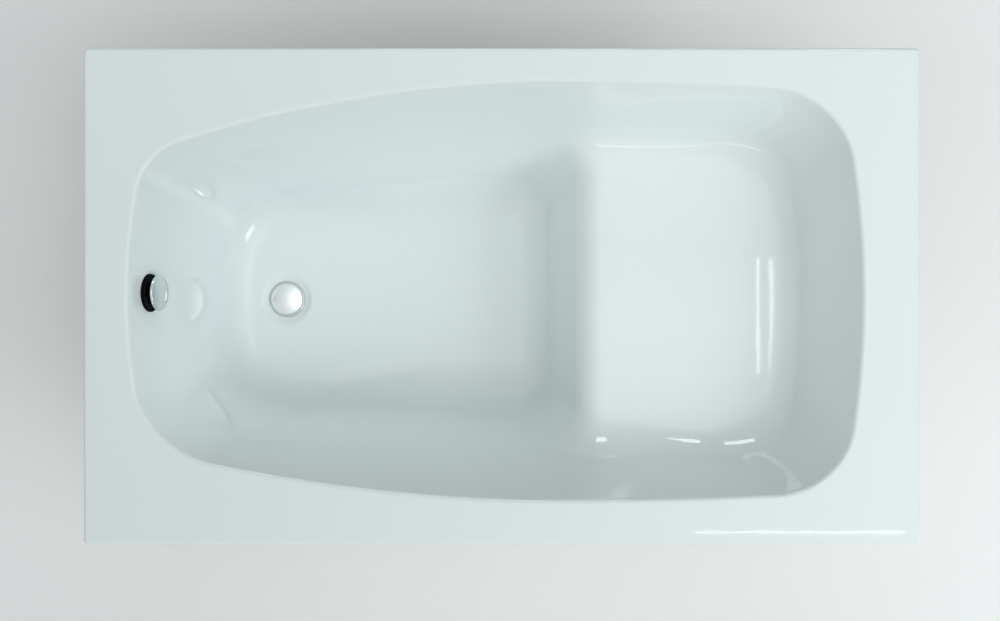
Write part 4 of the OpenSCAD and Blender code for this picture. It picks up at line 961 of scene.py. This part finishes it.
def makePads():
    look = footLook
    outer = rounded([(24.3, 0), (25, 0.8), (25, 4.4), (23.4, 5.8), (15.2, 8.8), (13.2, 12), (12.2, 20.8),
                     (11.2, 22), (7.4, 22)])
    for i, (x, y, _) in enumerate(feet, 1):
        pad = spunMesh([(0, 0), (23, 0), *outer, (6.06, 21.2), (6.06, 8), (0, 8)], 96)
        for k in range(look["padRibs"]):
            rib = ribMesh([(11.5, 6), (22.8, 5.2), (22.6, 6.6), (15.4, 12.6), (13.0, 17.4), (11.5, 17.8)],
                          look["ribHalf"])
            rib.transform(Matrix.Rotation(2 * math.pi * (k + 0.5) / look["padRibs"], 4, "Z"))
            merge(pad, rib)
        placed(pieceFrom(pad, "footPad%d" % i, "foot", Vector((x, y, 0))), "foot_%d" % i, "foot_plastic",
               "foot_pad_%d" % i)


# overflow hose with ribs, and the pull cable with its wound sheath
hoseLook = {"Radius": 0.0158, "Groove": 0.0014, "Pitch": 0.0052, "Cuff": 0.020, "Sides": 40, "Step": 0.00065}
cableLook = {"Radius": 0.00292, "Groove": 0.00010, "Pitch": 0.0030, "Cuff": 0.012, "Sides": 20, "Step": 0.0010}
hoseEnds = {"down": 0.0453, "out": -0.036, "back": 0.0453, "under": 0.035, "leaving": 0.85, "arriving": 0.26,
            "points": 120}
cableEnds = {"down": 0.0321, "side": -0.026, "out": -0.050, "front": 0.0401, "under": 0.046, "ferrule": 0.016,
             "arriving": 0.3, "points": 150}


def sweptPiece(name, tree, look, finish, path):  # a grooved tube along a path, smooth at its two cuffs
    g = Graph(tree, **look, Finish=finishes[finish])
    radius, cuff = g.given["Radius"], g.given["Cuff"]
    fine = g.add("GeometryNodeResampleCurve", {"mode": "LENGTH"},
                 {"Curve": g.given["Geometry"], "Length": g.given["Step"]})
    at = g.add("GeometryNodeSplineParameter")["Length"]
    left = g.add("GeometryNodeSplineLength")["Length"] - at
    free = (at > cuff) * (left > cuff)
    wave = (at / g.given["Pitch"] * (2 * math.pi)).math("COSINE")
    dip = (1.0 - wave) * 0.5 * g.given["Groove"]
    share = (radius - dip * free) / radius
    swollen = g.add("GeometryNodeSetCurveRadius", {}, {"Curve": fine, "Radius": share})
    ring = g.add("GeometryNodeCurvePrimitiveCircle", {"mode": "RADIUS"},
                 {"Resolution": g.given["Sides"], "Radius": radius})
    tube = g.add("GeometryNodeCurveToMesh", {}, {"Curve": swollen, "Profile Curve": ring, "Fill Caps": True})
    if "Scale" in tube.node.inputs:
        g.put(tube.node.inputs["Scale"], g.add("GeometryNodeInputRadius"))
    g.finish(tube)
    piece = g.grown(pathBase(path), name)
    smoothed(piece.data, 60)
    return piece


def makeHose():
    e = hoseEnds
    start = overflowPoint(e["down"], 0, e["out"])
    end = Vector((drain["x"] - e["back"], drain["y"], drain["z"] - e["under"]))
    span = (end - start).length
    path = curvePoints([start, start + downWall * e["leaving"] * span,
                        end - Vector((e["arriving"] * span, 0, 0)), end], e["points"])
    placed(sweptPiece("overflowHose", "ribbedHose", hoseLook, "grey", path), "tub", "hose_plastic",
           "overflow_hose")
    e = cableEnds
    start = overflowPoint(e["down"], e["side"], e["out"])
    end = Vector((drain["x"], drain["y"] - e["front"], drain["z"] - e["under"]))
    span = (end - start).length
    leave, enter = start + downWall * e["ferrule"], end - Vector((0, e["ferrule"], 0))
    bend = curvePoints([leave, leave + downWall * span, enter - Vector((0, e["arriving"] * span, 0)), enter],
                       e["points"])
    placed(sweptPiece("pullCable", "cableSheath", cableLook, "cable", [start, *bend, end]), "tub",
           "black_plastic", "pull_cable")


# screws and bolts of the underframe; lengths in the profiles are in millimetres
screwLook = {"head": 0.008, "headHeight": 0.004, "side": 0.050, "sink": 0.0026,
             "rails": ((-0.340, 0.1358), (-0.023, 0.1358), (0.3845, 0.3658))}
boltLook = {"head": 0.013, "headHeight": 0.0053, "nutHeight": 0.0065, "nutBore": 0.00402, "rail": 0.036,
            "x": 0.3845, "side": 0.185, "z": 0.3538, "closed": 0.0001, "gap": 0.0001}  # closed: no bore


def makeScrews():
    s, b = screwLook, boltLook
    screw = nutMesh(s["head"], s["headHeight"] - 0.001, b["closed"], 48)
    screw.transform(Matrix.Translation((0, 0, -s["headHeight"])))
    merge(screw, spunMesh([(0, -1.0), (4.6, -1.0), (5.4, -0.5), (5.4, 0), (0, 0)], 48))
    merge(screw, spunMesh([(0, 0), (2.5, 0), (2.5, 12.6), (2.2, 13), (0, 13)], 24))
    points = [(x, side * s["side"], z - s["sink"]) for x, z in s["rails"] for side in (-1, 1)]
    screws, = fastened(screw, "railScrews", "bright", [("railScrews", points)])
    placed(screws, "tub", "zinc_steel", "rail_screws")
    bolt = nutMesh(b["head"], b["headHeight"], b["closed"], 48)
    bolt.transform(Matrix.Translation((0, 0, -b["headHeight"] - b["gap"])))
    merge(bolt, spunMesh([(0, -1), (4, -1), (4, 43.6), (3.4, 44.5), (0, 44.5)], 32))
    nut = nutMesh(b["head"], b["nutHeight"], b["nutBore"], 48)
    nut.transform(Matrix.Translation((0, 0, b["rail"] + b["gap"])))
    merge(bolt, nut)
    bolt.transform(Matrix.Rotation(math.radians(90), 4, "Y"))
    points = [(b["x"] - b["rail"] / 2, side * b["side"], b["z"]) for side in (-1, 1)]
    bolts, = fastened(bolt, "legBolts", "bright", [("legBolts", points)])
    placed(bolts, "tub", "zinc_steel", "leg_bolts")


makeStrands(makeLaminate(), skin)
print("laminate and strands made")
makeOverflow()
makeDrain()
print("overflow and drain made")
makeThreads()
makeNuts()
makePads()
makeHose()
makeScrews()
print("feet, hose and fasteners made")

# the rest keep the part's own shape: slot, finish, width of the rounded edges in metres, nodes
crispParts = [
    ("board", "chip", 0.0008, ["footwell_board", "seat_board"]),
    ("batten", "timberX", 0.0012, ["rim_batten_front", "rim_batten_back"]),
    ("batten", "timberY", 0.0012, ["rim_batten_head", "rim_batten_foot"]),
    ("zinc_steel", "zinc", 0.0006, ["foot_rail_drain", "foot_rail_riser", "seat_rail"]),
    ("zinc_steel", "zinc", 0.0009, ["seat_leg_front", "seat_leg_back"]),
    ("zinc_steel", "bright", 0.0003, ["cable_ferrules"]),
    ("rubber", "rubber", 0.0004, ["overflow_gasket"]),
    ("black_plastic", "black", 0.0007, ["overflow_elbow"]),
    ("black_plastic", "black", 0.0005, ["hose_nut_top", "hose_nut_bottom"]),
    ("rubber", "rubber", 0.0002, ["drain_seal"]),
    ("rubber", "rubber", 0.0004, ["drain_gasket"]),
    ("black_plastic", "black", 0.0007, ["drain_body"]),
    ("rubber", "rubber", 0.0003, ["plug_seal"]),
    ("shaft_metal", "brass", 0.0003, ["plug_stem"]),
    ("lever_plastic", "orange", 0.0004, ["lift_lever"]),
    ("zinc_steel", "bright", 0.0002, ["lever_pin"]),
    ("white_plastic", "white", 0.0006, ["trap_body", "trap_cup"]),
    ("rubber", "rubber", 0.0002, ["trap_seal"]),
    ("white_plastic", "white", 0.0005, ["trap_nut", "outlet_nut"]),
    ("hose_plastic", "grey", 0.0004, ["outlet_pipe"]),
]
movingParts = {"plug_seal": "plug", "plug_stem": "plug", "lift_lever": "lever"}  # all others ride on the tub
for slot, finish, edge, group in crispParts:
    for node in group:
        crispCopy(node, movingParts.get(node, "tub"), slot, finish, edge)
print("crisp parts made,", sum(len(row[-1]) for row in crispParts))

# stage: pale floor, soft lamps, camera straight above
stageLook = {"floor": (0.93, 0.93, 0.925), "floorSize": 9, "floorDrop": 0.0005, "fadeFrom": 2.2, "fadeTo": 6.0,
             "tint": (0.958, 1.0, 1.012), "world": 0.03, "backdrop": 0.66,
             "cameraAt": (-0.0032, -0.0275, 3.79), "lens": 60.25, "sensor": 36, "clip": 60}
# soft patches of light: bearing, height, narrowness, strength; the ceiling's is seen only by lens and gloss
skyPatches = [(315, 72, 16, 2.60), (225, 35, 6, 1.22)]
ceilingPatches = [(0, 72, 16, 1.0)]


def makeFloor():
    look = stageLook
    bm = bmesh.new()
    bmesh.ops.create_grid(bm, x_segments=24, y_segments=24, size=look["floorSize"])
    floor = linked("floor", meshFrom(bm, "floor"))
    f = Finish("paleFloor")
    tone, pale = f.mask(f.noise(1.1, 3), 0.3, 0.7), look["floor"]
    floor.data.materials.append(f.feed(Base_Color=f.blend(tone, tuple(0.98 * c for c in pale), pale),
                                       Roughness=0.85, Specular_IOR_Level=0.2))
    reach = f.add("ShaderNodeVectorMath", {"operation": "LENGTH"}, {0: f.place})["Value"]
    far = f.add("ShaderNodeMapRange", {"interpolation_type": "SMOOTHSTEP"},
                {"Value": reach, "From Min": look["fadeFrom"], "From Max": look["fadeTo"]})
    glow = f.add("ShaderNodeEmission", {}, {"Color": look["tint"], "Strength": look["backdrop"]})
    near = Wire(f, f.shader, f.shader.outputs[0])
    whole = f.add("ShaderNodeMixShader", {}, {0: far * f.seen(), 1: near, 2: glow})  # far off it is backdrop
    f.put(f.tree.nodes["Material Output"].inputs["Surface"], whole)
    floor.location.z = -look["floorDrop"]


def addLamp(name, at, target, size, power, mirrored):
    target = target or (at[0], at[1], 0)
    lamp = bpy.data.lights.new(name, "AREA")
    lamp.shape, lamp.size, lamp.size_y = "RECTANGLE", *size
    lamp.energy, lamp.color = power, stageLook["tint"]
    holder = linked(name, lamp)
    holder.location = at
    holder.rotation_euler = (Vector(target) - Vector(at)).to_track_quat("-Z", "Y").to_euler()
    holder.visible_glossy = mirrored


# wide panels give the broad light and aren't mirrored, small lamps give the glints on the acrylic
# each row: name, place, what it faces (None is straight down), width and height, watts, mirrored
lamps = [("backPanel", (0.1, 2.1, 3.0), (0, 0, 0.4), (4.2, 2.2), 14, False),
         ("headPanel", (4.2, -1.4, 3.4), (0, 0, 0.4), (2.6, 2.2), 76, False),
         ("keyLamp", (2.3, -1.7, 2.6), (0.1, 0, 0.4), (1.0, 1.0), 12, True),
         ("backWindow", (0.0, 3.5, 2.15), (0.0, 0, 2.15), (1.0, 0.8), 15, True),
         ("sideWindow", (1.35, 3.5, 1.9), (1.35, 0, 1.9), (0.3, 0.9), 5, True),
         ("mouthStrip", (0.4, -2.2, 1.75), (0.4, 0, 0.5), (1.8, 0.10), 1.7, True),
         ("rimStrip", (0.93, -0.718, 2.6), None, (0.66, 0.004), 0.065, True),
         ("seatStripA", (0.862, -0.045, 2.6), None, (0.008, 0.39), 0.06, True),
         ("seatStripB", (0.905, -0.045, 2.6), None, (0.008, 0.39), 0.06, True)]


def makeLight():
    world = bpy.data.worlds.new("softRoom")
    bpy.context.scene.world = world
    world.use_nodes = True
    sky = Sheet(world.node_tree)
    way = sky.add("ShaderNodeTexCoord")["Generated"]

    def patched(glow, rows):
        for turn, height, narrow, power in rows:
            turn, height = math.radians(turn), math.radians(height)
            axis = (math.cos(height) * math.cos(turn), math.cos(height) * math.sin(turn), math.sin(height))
            near = sky.add("ShaderNodeVectorMath", {"operation": "DOT_PRODUCT"}, {0: way, 1: axis})
            glow = ((near - 1) * narrow).math("EXPONENT") * power + glow
        return glow

    light = patched(stageLook["world"], skyPatches)
    backdrop = patched(stageLook["backdrop"], ceilingPatches)
    seen = sky.seen()
    back = world.node_tree.nodes["Background"]
    sky.put(back.inputs["Color"], stageLook["tint"])
    sky.put(back.inputs["Strength"], light * (1 - seen) + seen * backdrop)
    for row in lamps:
        addLamp(*row)


def makeCamera():
    camera = bpy.data.cameras.new("camera")
    camera.lens, camera.sensor_width, camera.clip_end = (stageLook[key] for key in ("lens", "sensor", "clip"))
    holder = linked("camera", camera)
    holder.location = stageLook["cameraAt"]
    bpy.context.scene.camera = holder


makeFloor()
makeLight()
makeCamera()
bpy.context.scene.view_settings.view_transform = "Standard"
print("stage made")
